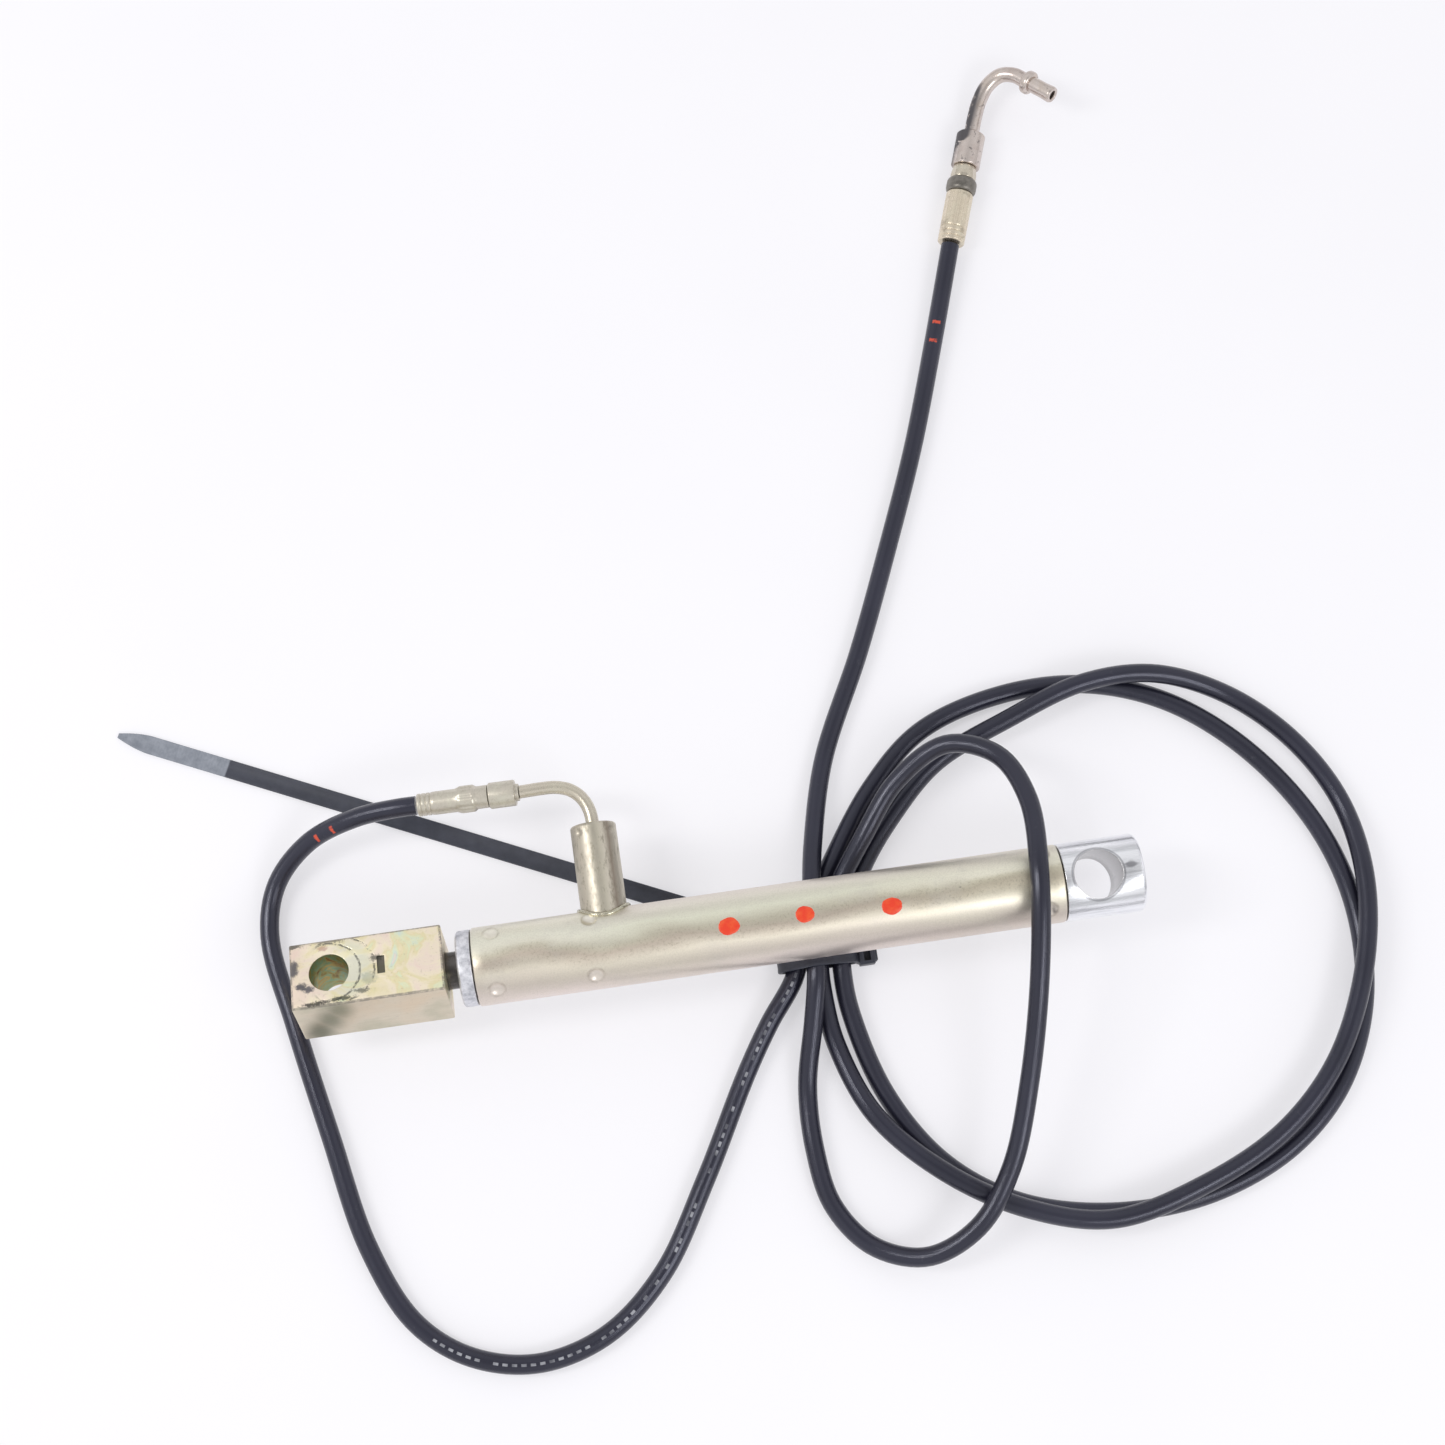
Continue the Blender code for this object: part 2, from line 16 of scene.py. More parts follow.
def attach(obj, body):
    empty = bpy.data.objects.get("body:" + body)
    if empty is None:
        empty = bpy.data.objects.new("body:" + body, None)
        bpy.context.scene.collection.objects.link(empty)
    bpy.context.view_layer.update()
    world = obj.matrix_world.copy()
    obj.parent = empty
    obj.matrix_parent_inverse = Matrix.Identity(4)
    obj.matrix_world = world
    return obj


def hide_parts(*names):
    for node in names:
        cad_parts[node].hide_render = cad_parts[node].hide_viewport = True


MM = 0.001
TABLE_Z = -21.5 * MM
TABLE_HALF = 8.0

CAMERA_PLACE = (-0.1190, -0.0679, 0.600)
CAMERA_TURN = (11.6, -0.17, -8.24)
CAMERA_LENS = 58.96
LIT_POINT = (-0.08, 0.05, -0.02)
ROOM_STRENGTH = 0.90
# How bright the room is, from the floor's level to straight overhead.
ROOM_SHADES = (
    (0.0, 0.70), (0.25, 0.85), (0.60, 1.0), (0.85, 0.92), (0.96, 0.66), (1.0, 0.55))

TUBE_R = 10.0
DENT_ROWS = (-165.3, -140.3, -25.0)
DENT_BALL = 3.0
DENT_DEPTH = 0.85
EYE_X = -11.8
EYE_BORE_R = 6.2
PORT_X = -136.4
PORT_R = 5.9
BLOCK_NEAR = -177.7
BLOCK_FAR = -216.0
BLOCK_SIDE = 18.0
BLOCK_BORE_X = -206.3
BLOCK_BORE_R = 5.0
BLOCK_ROLL = math.radians(-19.8)
HOSE_R = 2.5

# The hose's route in millimetres: x, y and the height of its middle above the table.
ROUTE = (
    (-180.75, 43.7, 19.9), (-185.5, 43.8, 19.5), (-197.0, 43.5, 15.8), (-211.0, 40.0, 8.8),
    (-221.0, 31.0, 4.2),
    (-224.5, 18.0, 2.6), (-220.5, -6.0, 2.6), (-214.5, -35.5, 2.6), (-208.0, -65.0, 2.6),
    (-198.5, -85.0, 2.6), (-185.5, -95.5, 2.6), (-168.5, -99.5, 2.6), (-150.5, -95.0, 2.6),
    (-134.5, -82.0, 2.6), (-120.5, -60.5, 2.6), (-106.0, -35.0, 2.6), (-98.4, -23.4, 3.4),
    (-90.2, -12.6, 4.2), (-86.8, -3.0, 4.15), (-83.7, 5.0, 2.75), (-78.3, 12.8, 2.6),
    (-62.9, 34.0, 2.6),
    # first turn
    (-47.0, 47.8, 2.6), (-24.0, 54.5, 2.6), (-1.0, 54.0, 2.6), (20.0, 46.0, 2.6),
    (39.0, 29.5, 2.6), (53.0, 7.0, 2.6), (58.5, -16.0, 2.6), (56.0, -40.0, 2.6),
    (46.0, -60.0, 2.6), (30.0, -74.0, 2.6), (7.0, -82.5, 2.6), (-18.0, -83.5, 2.6),
    (-41.5, -77.5, 2.6), (-59.0, -65.0, 2.6), (-71.0, -46.0, 2.6), (-77.0, -23.5, 3.1),
    (-77.6, -12.8, 4.15), (-76.7, -5.0, 4.1), (-73.0, 3.5, 2.9), (-68.2, 13.5, 2.6), (-58.3, 26.0, 2.6),
    # second turn, which climbs over the first where they cross
    (-44.5, 38.6, 3.0), (-24.0, 47.0, 6.0), (-3.0, 53.5, 8.0), (16.5, 53.5, 7.0),
    (36.0, 45.5, 3.2), (51.0, 31.0, 2.6), (60.0, 13.0, 3.6), (61.5, -8.0, 7.0),
    (56.5, -31.0, 8.0), (45.0, -53.5, 7.4), (28.0, -69.5, 7.2), (5.0, -80.0, 7.7),
    (-19.0, -85.0, 7.8), (-40.0, -79.5, 7.8), (-59.5, -67.5, 7.8), (-75.0, -50.5, 6.0),
    (-82.0, -31.0, 3.3), (-83.4, -18.0, 4.0), (-83.0, -9.0, 4.05), (-80.4, 0.5, 4.6), (-75.0, 10.0, 6.6),
    (-67.0, 21.0, 8.4),
    # the loop that leans over the barrel
    (-56.8, 33.4, 12.2), (-43.0, 40.5, 17.5), (-31.0, 35.0, 23.5), (-26.0, 22.0, 29.5),
    (-27.0, 3.0, 35.1), (-30.4, -21.5, 31.0), (-36.5, -48.5, 21.5), (-44.0, -69.0, 16.0),
    (-54.0, -82.0, 12.0), (-67.5, -87.5, 7.2), (-80.5, -83.0, 3.6), (-89.0, -71.5, 2.6),
    (-91.5, -57.0, 2.6), (-91.0, -41.0, 3.0), (-87.2, -25.0, 7.0), (-84.9, -14.5, 9.3),
    (-84.0, -7.0, 9.3), (-83.3, 1.5, 8.75), (-82.3, 10.5, 8.1), (-80.2, 21.5, 5.5),
    # the far end
    (-73.8, 43.8, 2.6), (-60.0, 71.5, 2.6), (-48.0, 98.5, 2.6), (-36.5, 126.0, 2.6),
    (-26.5, 154.0, 3.0), (-17.0, 182.2, 4.3),
)
# Bars painted on the hose: x and y, the lengths in metres between which the hose is there,
# and the height round it as a share of a turn.
HOSE_BARS = (
    (-203.2, 40.7, 0.0, 0.1, 0.325), (-207.1, 39.3, 0.0, 0.1, 0.325),
    (-25.1, 160.0, 1.5, 9.9, 0.262), (-26.8, 154.4, 1.5, 9.9, 0.262))
NEAR_START = (-154.0, 43.1, 21.5)
FAR_START = (-16.8, 182.7, 4.3)
FAR_END = (-5.7, 214.2, 4.3)
NEAR_PIPE = (
    (-136.4, 22.0, 21.5), (-136.4, 33.0, 21.5), (-136.9, 36.4, 21.5), (-138.5, 39.6, 21.5),
    (-141.2, 41.9, 21.5), (-144.6, 43.0, 21.5), (-148.2, 43.2, 21.5), (-153.9, 43.1, 21.5),
)
FAR_PIPE = (
    (-5.7, 214.2, 4.3), (-4.2, 218.4, 4.4), (-2.4, 222.6, 5.0), (0.6, 226.8, 6.3),
    (4.4, 228.7, 7.9), (8.0, 227.5, 9.5), (10.5, 224.9, 10.7),
)
NIPPLE_START = (10.6, 224.8, 10.75)
NIPPLE_TIP = (16.9, 217.7, 14.0)

TIE_Y = -8.7
TIE_WIDTH = 4.8
TIE_THICK = 1.2
TIE_CORNER = 3.1
TIE_CORNERS = ((-77.0, 4.3), (-84.4, 9.1), (-90.0, 4.3))
TIE_RIGHT = -73.9
TIE_TIP = (-259.3, 77.5)
TIE_TAIL_END = (-79.0, -6.73)
TIE_GREY = 31.0

PAINT_DOTS = ((-105.8, 0.0, 2.75, 1), (-86.5, 0.3, 2.55, 2), (-64.6, -0.8, 2.7, 3))


# ---------------------------------------------------------------- camera and lights

def put(name, data):
    """A new object in the scene."""
    made = bpy.data.objects.new(name, data)
    bpy.context.collection.objects.link(made)
    return made


def place_camera():
    data = bpy.data.cameras.new("camera")
    data.lens = CAMERA_LENS
    data.sensor_width = 36.0
    data.clip_start = 0.01
    camera = put("camera", data)
    camera.location = CAMERA_PLACE
    camera.rotation_euler = [math.radians(angle) for angle in CAMERA_TURN]
    bpy.context.scene.camera = camera


def softbox(name, place, size, power, colour):
    data = bpy.data.lights.new(name, "AREA")
    data.shape = "RECTANGLE"
    data.size, data.size_y = size
    data.energy = power
    data.color = colour
    lamp = put(name, data)
    lamp.location = place
    lamp.rotation_euler = (Vector(LIT_POINT) - Vector(place)).to_track_quat("-Z", "Y").to_euler()


def set_stops(ramp_node, stops):
    """Give a colour ramp its (position, colour) stops."""
    elements = ramp_node.color_ramp.elements
    for k, (position, colour) in enumerate(stops):
        stop = elements[k] if k < 2 else elements.new(position)
        stop.position = position
        stop.color = (*colour, 1.0)


def light_the_room():
    """A pale room that is dimmer straight overhead, and two softboxes."""
    world = bpy.data.worlds.new("room")
    bpy.context.scene.world = world
    world.use_nodes = True
    tree = world.node_tree
    background = tree.nodes["Background"]
    where = tree.nodes.new("ShaderNodeTexCoord")
    split = tree.nodes.new("ShaderNodeSeparateXYZ")
    shade = tree.nodes.new("ShaderNodeValToRGB")
    tree.links.new(where.outputs["Generated"], split.inputs[0])
    tree.links.new(split.outputs["Z"], shade.inputs["Fac"])
    tree.links.new(shade.outputs["Color"], background.inputs["Color"])
    set_stops(shade, [
        (at, (value * 0.985, value * 0.985, value)) for at, value in ROOM_SHADES])
    background.inputs["Strength"].default_value = ROOM_STRENGTH
    softbox("key", (-0.74, 0.14, 0.80), (0.22, 0.42), 2.7, (1.0, 0.99, 0.97))
    softbox("fill", (0.36, -0.52, 0.78), (0.50, 0.30), 2.2, (0.98, 0.98, 1.0))


# ---------------------------------------------------------------- materials

class Finish:
    """A Principled material, with short ways to add the nodes that feed it."""

    def __init__(self, name, turn=0.0, shift=(0, 0, 0), **constants):
        self.material = bpy.data.materials.new(name)
        self.material.use_nodes = True
        self.tree = self.material.node_tree
        self.shader = self.tree.nodes["Principled BSDF"]
        for socket, value in constants.items():
            self.shader.inputs[socket.replace("_", " ")].default_value = value
        self.where = self.place((1, 1, 1), turn, shift)
        self.x, self.y, self.z = self.split(self.where)[0:3]

    def feed(self, socket, value):
        if isinstance(value, bpy.types.NodeSocket):
            self.tree.links.new(value, socket)
        else:
            socket.default_value = value

    def node(self, kind, settings=(), feeds=()):
        made = self.tree.nodes.new(kind)
        for key, value in dict(settings).items():
            setattr(made, key, value)
        for key, value in dict(feeds).items():
            self.feed(made.inputs[key], value)
        return made

    def vector(self, operation, a, b):
        return self.node(
            "ShaderNodeVectorMath", {"operation": operation}, {0: a, 1: b}).outputs[0]

    def place(self, stretch, turn=0.0, shift=(0, 0, 0)):
        """Where a point is, in the frame, after a shift, a turn about X and a stretch."""
        moved = self.vector("ADD", self.node("ShaderNodeTexCoord").outputs["Object"], shift)
        turned = self.node("ShaderNodeVectorRotate", {"rotation_type": "X_AXIS"}, {
            "Vector": moved, "Angle": turn}).outputs[0]
        return self.vector("MULTIPLY", turned, stretch)

    def noise(self, scale, detail=4.0, rough=0.55, distortion=0.0, at=None):
        return self.node("ShaderNodeTexNoise", (), {
            "Vector": at or self.where, "Scale": scale, "Detail": detail, "Roughness": rough,
            "Distortion": distortion}).outputs["Fac"]

    def math(self, operation, *values):
        return self.node(
            "ShaderNodeMath", {"operation": operation}, enumerate(values)).outputs[0]

    def times(self, a, b):
        return self.math("MULTIPLY", a, b)

    def fold(self, operation, values):
        """The least or the greatest of several values."""
        return functools.reduce(lambda a, b: self.math(operation, a, b), values)

    def gap(self, a, b):
        """How far apart two values are."""
        return self.math("ABSOLUTE", self.math("SUBTRACT", a, b))

    def shake(self, value, noise, amount):
        """A value that a noise moves to and fro."""
        return self.math("MULTIPLY_ADD", self.math("SUBTRACT", noise, 0.5), amount, value)

    def band(self, value, middle, inner, outer):
        """1 near a middle value, falling to 0 between two gaps from it."""
        return self.fade(self.gap(value, middle), inner, outer, 1, 0)

    def fade(self, value, low, high, to_low=0.0, to_high=1.0):
        """Smoothly from to_low at low to to_high at high."""
        return self.node("ShaderNodeMapRange", {"interpolation_type": "SMOOTHSTEP"}, {
            "Value": value, "From Min": low, "From Max": high, "To Min": to_low,
            "To Max": to_high}).outputs[0]

    def ramp(self, value, stops):
        made = self.node("ShaderNodeValToRGB", (), {"Fac": value})
        set_stops(made, stops)
        return made.outputs["Color"]

    def mix(self, share, a, b):
        """Colour a, with colour b over it where share is 1."""
        made = self.node("ShaderNodeMix", {"data_type": "RGBA"}, {"Factor": share})
        for socket, value in ((made.inputs[6], a), (made.inputs[7], b)):
            self.feed(socket, value if isinstance(value, bpy.types.NodeSocket) else (*value, 1.0))
        return made.outputs[2]

    def split(self, vector):
        return self.node("ShaderNodeSeparateXYZ", (), {0: vector}).outputs

    def distance(self, point, squeeze):
        """How far the surface is from a point, each axis weighed by squeeze."""
        off = self.vector("MULTIPLY", self.vector("SUBTRACT", self.where, point), squeeze)
        return self.node("ShaderNodeVectorMath", {"operation": "LENGTH"}, {0: off}).outputs[1]

    def over(self, mask, tone, strength=1.0):
        """Lay a tone over the colour so far, where a mask is 1."""
        share = mask if strength == 1.0 else self.times(mask, strength)
        self.colour = self.mix(share, self.colour, tone)

    def done(self, rough, *bumps):
        """Feed the shader; the bumps are (height, strength, distance), one on another."""
        self.feed(self.shader.inputs["Base Color"], self.colour)
        self.feed(self.shader.inputs["Roughness"], rough)
        below = {}
        for height, strength, reach in bumps:
            made = self.node("ShaderNodeBump", (), {
                "Height": height, "Strength": strength, "Distance": reach, **below})
            below = {"Normal": made.outputs["Normal"]}
            self.feed(self.shader.inputs["Normal"], below["Normal"])
        return self.material


# Scuffs on the block's top, in millimetres from its bore: x, y, squeeze, reach, strength, tone.
SCUFFS = (
    (-8.9, 2.0, (1.0, 0.62, 0.0), 1.65, 0.90, (0.10, 0.10, 0.12)),
    (-7.0, -3.1, (0.70, 1.0, 0.0), 1.2, 0.92, (0.09, 0.09, 0.11)),
    (-5.2, -4.0, (0.60, 1.0, 0.0), 1.15, 0.90, (0.11, 0.11, 0.13)),
    (-4.0, -8.2, (0.20, 1.0, 0.0), 0.7, 0.90, (0.04, 0.04, 0.04)),
    (3.0, -7.6, (0.22, 1.0, 0.0), 0.75, 0.85, (0.06, 0.07, 0.06)),
    (8.0, -6.2, (0.40, 1.0, 0.0), 0.7, 0.75, (0.12, 0.13, 0.11)),
    (-8.5, 8.3, (0.35, 1.0, 0.0), 0.75, 0.80, (0.06, 0.06, 0.06)),
    (1.0, 8.4, (0.13, 1.0, 0.0), 0.45, 0.65, (0.12, 0.11, 0.12)),
    (11.8, 2.2, (0.50, 0.9, 0.0), 0.8, 0.80, (0.10, 0.10, 0.09)),
    (-1.4, 6.8, (0.65, 1.4, 0.0), 1.1, 0.55, (0.45, 0.22, 0.20)),
    (9.8, -3.0, (0.60, 0.8, 0.0), 1.6, 0.50, (0.34, 0.38, 0.30)),
)

PINK = (0.82, 0.73, 0.68)
CREAM = (0.78, 0.72, 0.60)
TAN = (0.62, 0.54, 0.45)
GREEN = (0.82, 0.82, 0.67)
GREY = (0.62, 0.59, 0.54)
YELLOW = (0.84, 0.75, 0.45)
ORANGE = (0.62, 0.075, 0.03)


def tube_finish():
    """Yellow-passivated zinc on drawn tube: bands of pink, cream and pale green across its width, the
    plating's tints laid out as painted reflections, with painted highlights near the ends and at the
    stake marks.
    """
    f = Finish("zinc_tube", Metallic=0.92)
    streaks = f.noise(190.0, 5.0, 0.6, at=f.place((0.16, 1, 1)))
    clouds = f.noise(46.0, 3.0, 0.5, 0.6, at=f.place((0.45, 1, 1)))
    # Painted reflections: the plating's real tints are laid in bands across the tube's width, so the
    # colour changes from side to side as light and shade would.
    side = f.math("MULTIPLY_ADD", f.y, 46.0, 0.5)
    band = f.shake(side, clouds, 0.55)
    f.colour = f.ramp(band, (
        (0.02, PINK), (0.20, (0.72, 0.65, 0.57)), (0.36, CREAM), (0.50, TAN),
        (0.58, (0.64, 0.60, 0.48)), (0.74, GREEN), (0.97, (0.76, 0.70, 0.63))))
    # Painted highlight: brighter, yellower bands towards the eye's end.
    right = f.fade(f.x, -0.085, -0.035)
    f.over(right, f.ramp(band, (
        (0.05, (0.66, 0.58, 0.50)), (0.26, (0.90, 0.87, 0.72)), (0.44, (0.82, 0.76, 0.58)),
        (0.52, (0.58, 0.54, 0.40)), (0.66, (0.86, 0.82, 0.64)), (0.80, (0.92, 0.86, 0.68)),
        (0.96, (0.80, 0.70, 0.58)))), 0.55)
    # Painted highlight: a pale band on the port's side of the tube, near both ends.
    left = f.fade(f.x, -0.120, -0.150)
    end_highlight = f.times(f.math("MAXIMUM", left, right), f.fade(band, 0.54, 0.68))
    f.over(end_highlight, (0.97, 0.94, 0.82), 0.50)
    blotch = f.fade(f.noise(75.0, 6.0, 0.65, at=f.place((0.7, 1, 1))), 0.52, 0.72, 0, 0.35)
    f.over(blotch, GREY)
    grain = f.noise(2600.0, 3.0, 0.7)
    f.over(f.fade(grain, 0.35, 0.75, 0.0, 0.20), (0.36, 0.33, 0.26))
    # Painted reflection: a darker band along the tube's top, peppered with specks.
    dark_reflection_band = f.band(band, 0.50, 0.06, 0.16)
    peppered = f.fade(f.noise(1400.0, 4.0, 0.75), 0.50, 0.66, 0.0, 0.40)
    f.over(f.times(dark_reflection_band, peppered), (0.34, 0.30, 0.22))
    # painted highlight: pale colour inside the stake marks, with a broken painted shade ring round them
    near = f.fold("MINIMUM", [
        f.distance((row * MM, side * 0.00707, 0), (1.0, 1.35, 0.0))
        for row in DENT_ROWS for side in (-1, 1)])
    worn = f.fade(near, 0.0012, 0.0021, 1.0, 0.0)
    f.over(worn, (0.90, 0.83, 0.77), 0.35)
    dent_shade_ring = f.band(near, 0.0021, 0.0001, 0.0005)
    patchy = f.fade(f.noise(420.0, 3.0, 0.6), 0.42, 0.60, 0.04, 0.30)
    f.over(f.times(dent_shade_ring, patchy), (0.30, 0.25, 0.19))
    # small scratches and specks
    cells = f.node("ShaderNodeTexVoronoi", (), {
        "Vector": f.place((0.6, 1, 1)), "Scale": 260.0}).outputs["Distance"]
    specks = f.fade(cells, 0.03, 0.07, 0.55, 0.0)
    rare = f.fade(f.noise(60.0, 2.0), 0.60, 0.64)
    f.over(f.times(specks, rare), (0.16, 0.14, 0.12))
    dull = f.math("ADD", f.fade(streaks, 0.3, 0.7, 0.31, 0.42), f.times(grain, 0.05))
    return f.done(
        f.math("MULTIPLY_ADD", worn, -0.05, dull),
        (streaks, 0.22, 0.00012), (grain, 0.18, 0.00005))


def sleeve_finish():
    """The port sleeve: speckled, with painted highlight and shade bands across it, brightest on the
    block's side, and a painted dark reflection band.
    """
    f = Finish("zinc_sleeve", shift=(-PORT_X * MM, 0, 0), Metallic=0.92)
    speck = f.noise(900.0, 5.0, 0.75, at=f.place((1, 0.35, 1)))
    # Painted highlight and shade: the colour runs in light and dark bands across the sleeve.
    across = f.math("MULTIPLY_ADD", f.x, 1 / (2 * PORT_R * MM), 0.5)
    f.colour = f.ramp(f.shake(across, speck, 0.10), (
        (0.02, (0.50, 0.46, 0.38)), (0.16, (0.58, 0.53, 0.44)), (0.30, (0.48, 0.44, 0.37)),
        (0.45, (0.43, 0.40, 0.33)), (0.60, (0.58, 0.54, 0.44)), (0.70, (0.62, 0.57, 0.48)),
        (0.81, (0.32, 0.27, 0.22)), (0.93, (0.60, 0.56, 0.47))))
    f.over(f.fade(speck, 0.50, 0.68, 0.0, 0.60), (0.22, 0.20, 0.15))
    fine = f.noise(1900.0, 3.0, 0.7)
    return f.done(
        f.fade(speck, 0.3, 0.7, 0.36, 0.50),
        (speck, 0.25, 0.0001), (fine, 0.2, 0.00006))


def zinc_finish(name, tint, rough=0.34, stain=0.25, scale=1.0):
    """The same plating on small turned pieces, with pits and darker stains."""
    f = Finish(name, Metallic=0.9)
    clouds = f.noise(160.0 * scale, 4.0, 0.6, 0.4)
    warm = tuple(0.85 * value + 0.15 * other for value, other in zip(tint, PINK))
    cool = tuple(0.65 * value + 0.35 * other for value, other in zip(tint, GREEN))
    f.colour = f.ramp(clouds, ((0.30, warm), (0.50, tint), (0.70, cool)))
    pits = f.noise(1500.0 * scale, 4.0, 0.75)
    f.over(f.fade(pits, 0.45, 0.75, 0.0, 0.30), (0.27, 0.24, 0.17))
    stains = f.fade(f.noise(240.0 * scale, 5.0, 0.7), 0.55, 0.70, 0.0, stain)
    f.over(stains, (0.20, 0.17, 0.12))
    return f.done(
        f.fade(pits, 0.3, 0.8, rough - 0.06, rough + 0.16),
        (pits, 0.30, 0.00008), (clouds, 0.12, 0.0002))


def block_finish():
    """The block's plating: iridescent top, a washer's mark, scuffs, painted shade on its sides and in
    its notch, and a stained bore darkened as painted shade.
    """
    f = Finish("zinc_block", -BLOCK_ROLL, (-BLOCK_BORE_X * MM, 0, 0), Metallic=0.86)
    x, z, across = f.x, f.z, f.math("ABSOLUTE", f.y)
    wobble = f.noise(320.0, 4.0, 0.6)
    clouds = f.noise(95.0, 4.0, 0.55, 1.2)
    f.colour = f.ramp(clouds, (
        (0.24, (0.90, 0.70, 0.62)), (0.38, (0.92, 0.78, 0.66)), (0.48, (0.93, 0.83, 0.63)),
        (0.56, YELLOW), (0.62, (0.80, 0.84, 0.58)), (0.70, (0.68, 0.80, 0.72)),
        (0.80, (0.90, 0.74, 0.64))))
    f.over(0.12, (0.86, 0.78, 0.64))
    shaken = f.shake(f.distance((0.0026, 0.0004, 0), (1.0, 1.0, 0.0)), wobble, 0.0016)
    flat = f.distance((0, 0, 0), (1.0, 1.0, 0.0))
    # greener under where the washer sat, pinker at the outer end
    washed = f.times(f.fade(shaken, 0.0096, 0.0070), f.fade(x, -0.002, 0.006))
    washed = f.times(washed, f.fade(clouds, 0.40, 0.60, 0.44, 0.14))
    f.over(washed, (0.56, 0.68, 0.56))
    f.over(f.fade(x, -0.003, -0.010, 0.0, 0.40), (0.80, 0.63, 0.52))
    # painted shade: the side faces darker than the top
    sides = f.fade(across, 0.0083, 0.0089)
    side_shade_tone = f.ramp(f.noise(70.0, 3.0, 0.5), (
        (0.32, (0.50, 0.48, 0.36)), (0.50, (0.68, 0.61, 0.49)), (0.70, (0.70, 0.59, 0.45))))
    f.over(sides, side_shade_tone)
    smear = f.fold("MINIMUM", [f.distance(place, (1.0, 1.0, 0.60)) for place in (
        (0.0016, -0.009, 0.0055), (-0.0014, -0.009, 0.0005), (-0.0048, -0.009, -0.0050))])
    green_side = f.times(sides, f.fade(smear, 0.0052, 0.0004))
    f.over(green_side, (0.24, 0.25, 0.17), 0.72)
    # the edges of two washers' marks, broken and smudged
    smudge = f.noise(420.0, 4.0, 0.75)
    grit = f.noise(1500.0, 4.0, 0.8)
    broken = f.times(f.fade(smudge, 0.42, 0.52), f.fade(grit, 0.36, 0.50, 0.15, 1.0))
    rings = f.fold("MAXIMUM", [f.band(off, reach, 0.00012, 0.00042) for off, reach in (
        (shaken, 0.0090), (f.shake(flat, wobble, 0.0010), 0.0079))])
    ring = f.times(f.times(rings, broken), f.fade(x, -0.0045, -0.0015))
    ring = f.times(ring, f.fade(across, 0.0088, 0.0083))
    f.over(ring, (0.10, 0.10, 0.09), 0.80)
    top = f.fade(z, 0.0078, 0.0086)
    for scuff_x, scuff_y, squeeze, reach, strength, tone in SCUFFS:
        near = f.distance((scuff_x * MM, scuff_y * MM, 0.009), squeeze)
        ragged = f.shake(f.shake(near, smudge, 0.0012), grit, 0.0026)
        spot = f.fade(ragged, reach * 0.45 * MM, reach * 1.1 * MM, strength, 0.0)
        f.over(f.times(spot, top), tone)
    # painted shade on the floor and walls of the notch
    notch_shade = f.times(f.fade(z, 0.00896, 0.00880), f.times(f.fade(
        f.gap(x, 0.0131), 0.00118, 0.00104), f.fade(f.gap(f.y, 0.0002), 0.00265, 0.0025)))
    f.over(notch_shade, (0.06, 0.06, 0.05), 0.90)
    # darker, broken edges round the top face
    rim = f.math("MAXIMUM", f.fade(across, 0.00835, 0.00862), f.math(
        "MAXIMUM", f.fade(x, 0.02790, 0.02815), f.fade(x, -0.00905, -0.00930)))
    rim = f.times(rim, f.times(f.fade(z, 0.00825, 0.0086), f.fade(
        f.math("MULTIPLY_ADD", grit, 0.5, f.times(smudge, 0.5)),
        0.42, 0.54, 0.10, 0.80)))
    f.over(rim, (0.27, 0.245, 0.21))
    # inside the bore: plating stain colours, made dark as painted shade
    inside = f.times(f.fade(flat, 0.00525, 0.00508), f.fade(
        f.math("ABSOLUTE", z), 0.0089, 0.0085))
    bore = f.ramp(f.noise(230.0, 3.0, 0.5, 1.0), (
        (0.30, (0.20, 0.11, 0.03)), (0.44, (0.34, 0.29, 0.08)), (0.54, (0.22, 0.36, 0.22)),
        (0.62, (0.46, 0.34, 0.10)), (0.74, (0.30, 0.13, 0.04))))
    f.over(inside, bore)
    # pits and scratches all over
    pits = f.noise(1400.0, 4.0, 0.7)
    f.over(f.fade(pits, 0.56, 0.78, 0.0, 0.35), (0.26, 0.22, 0.15))
    scratches = f.noise(1100.0, 3.0, 0.6, at=f.place((0.12, 1, 1), turn=-BLOCK_ROLL))
    dent = f.times(ring, -1.0)
    return f.done(
        f.fade(scratches, 0.3, 0.7, 0.34, 0.48),
        (pits, 0.25, 0.00008), (scratches, 0.15, 0.00008), (dent, 0.6, 0.00015))


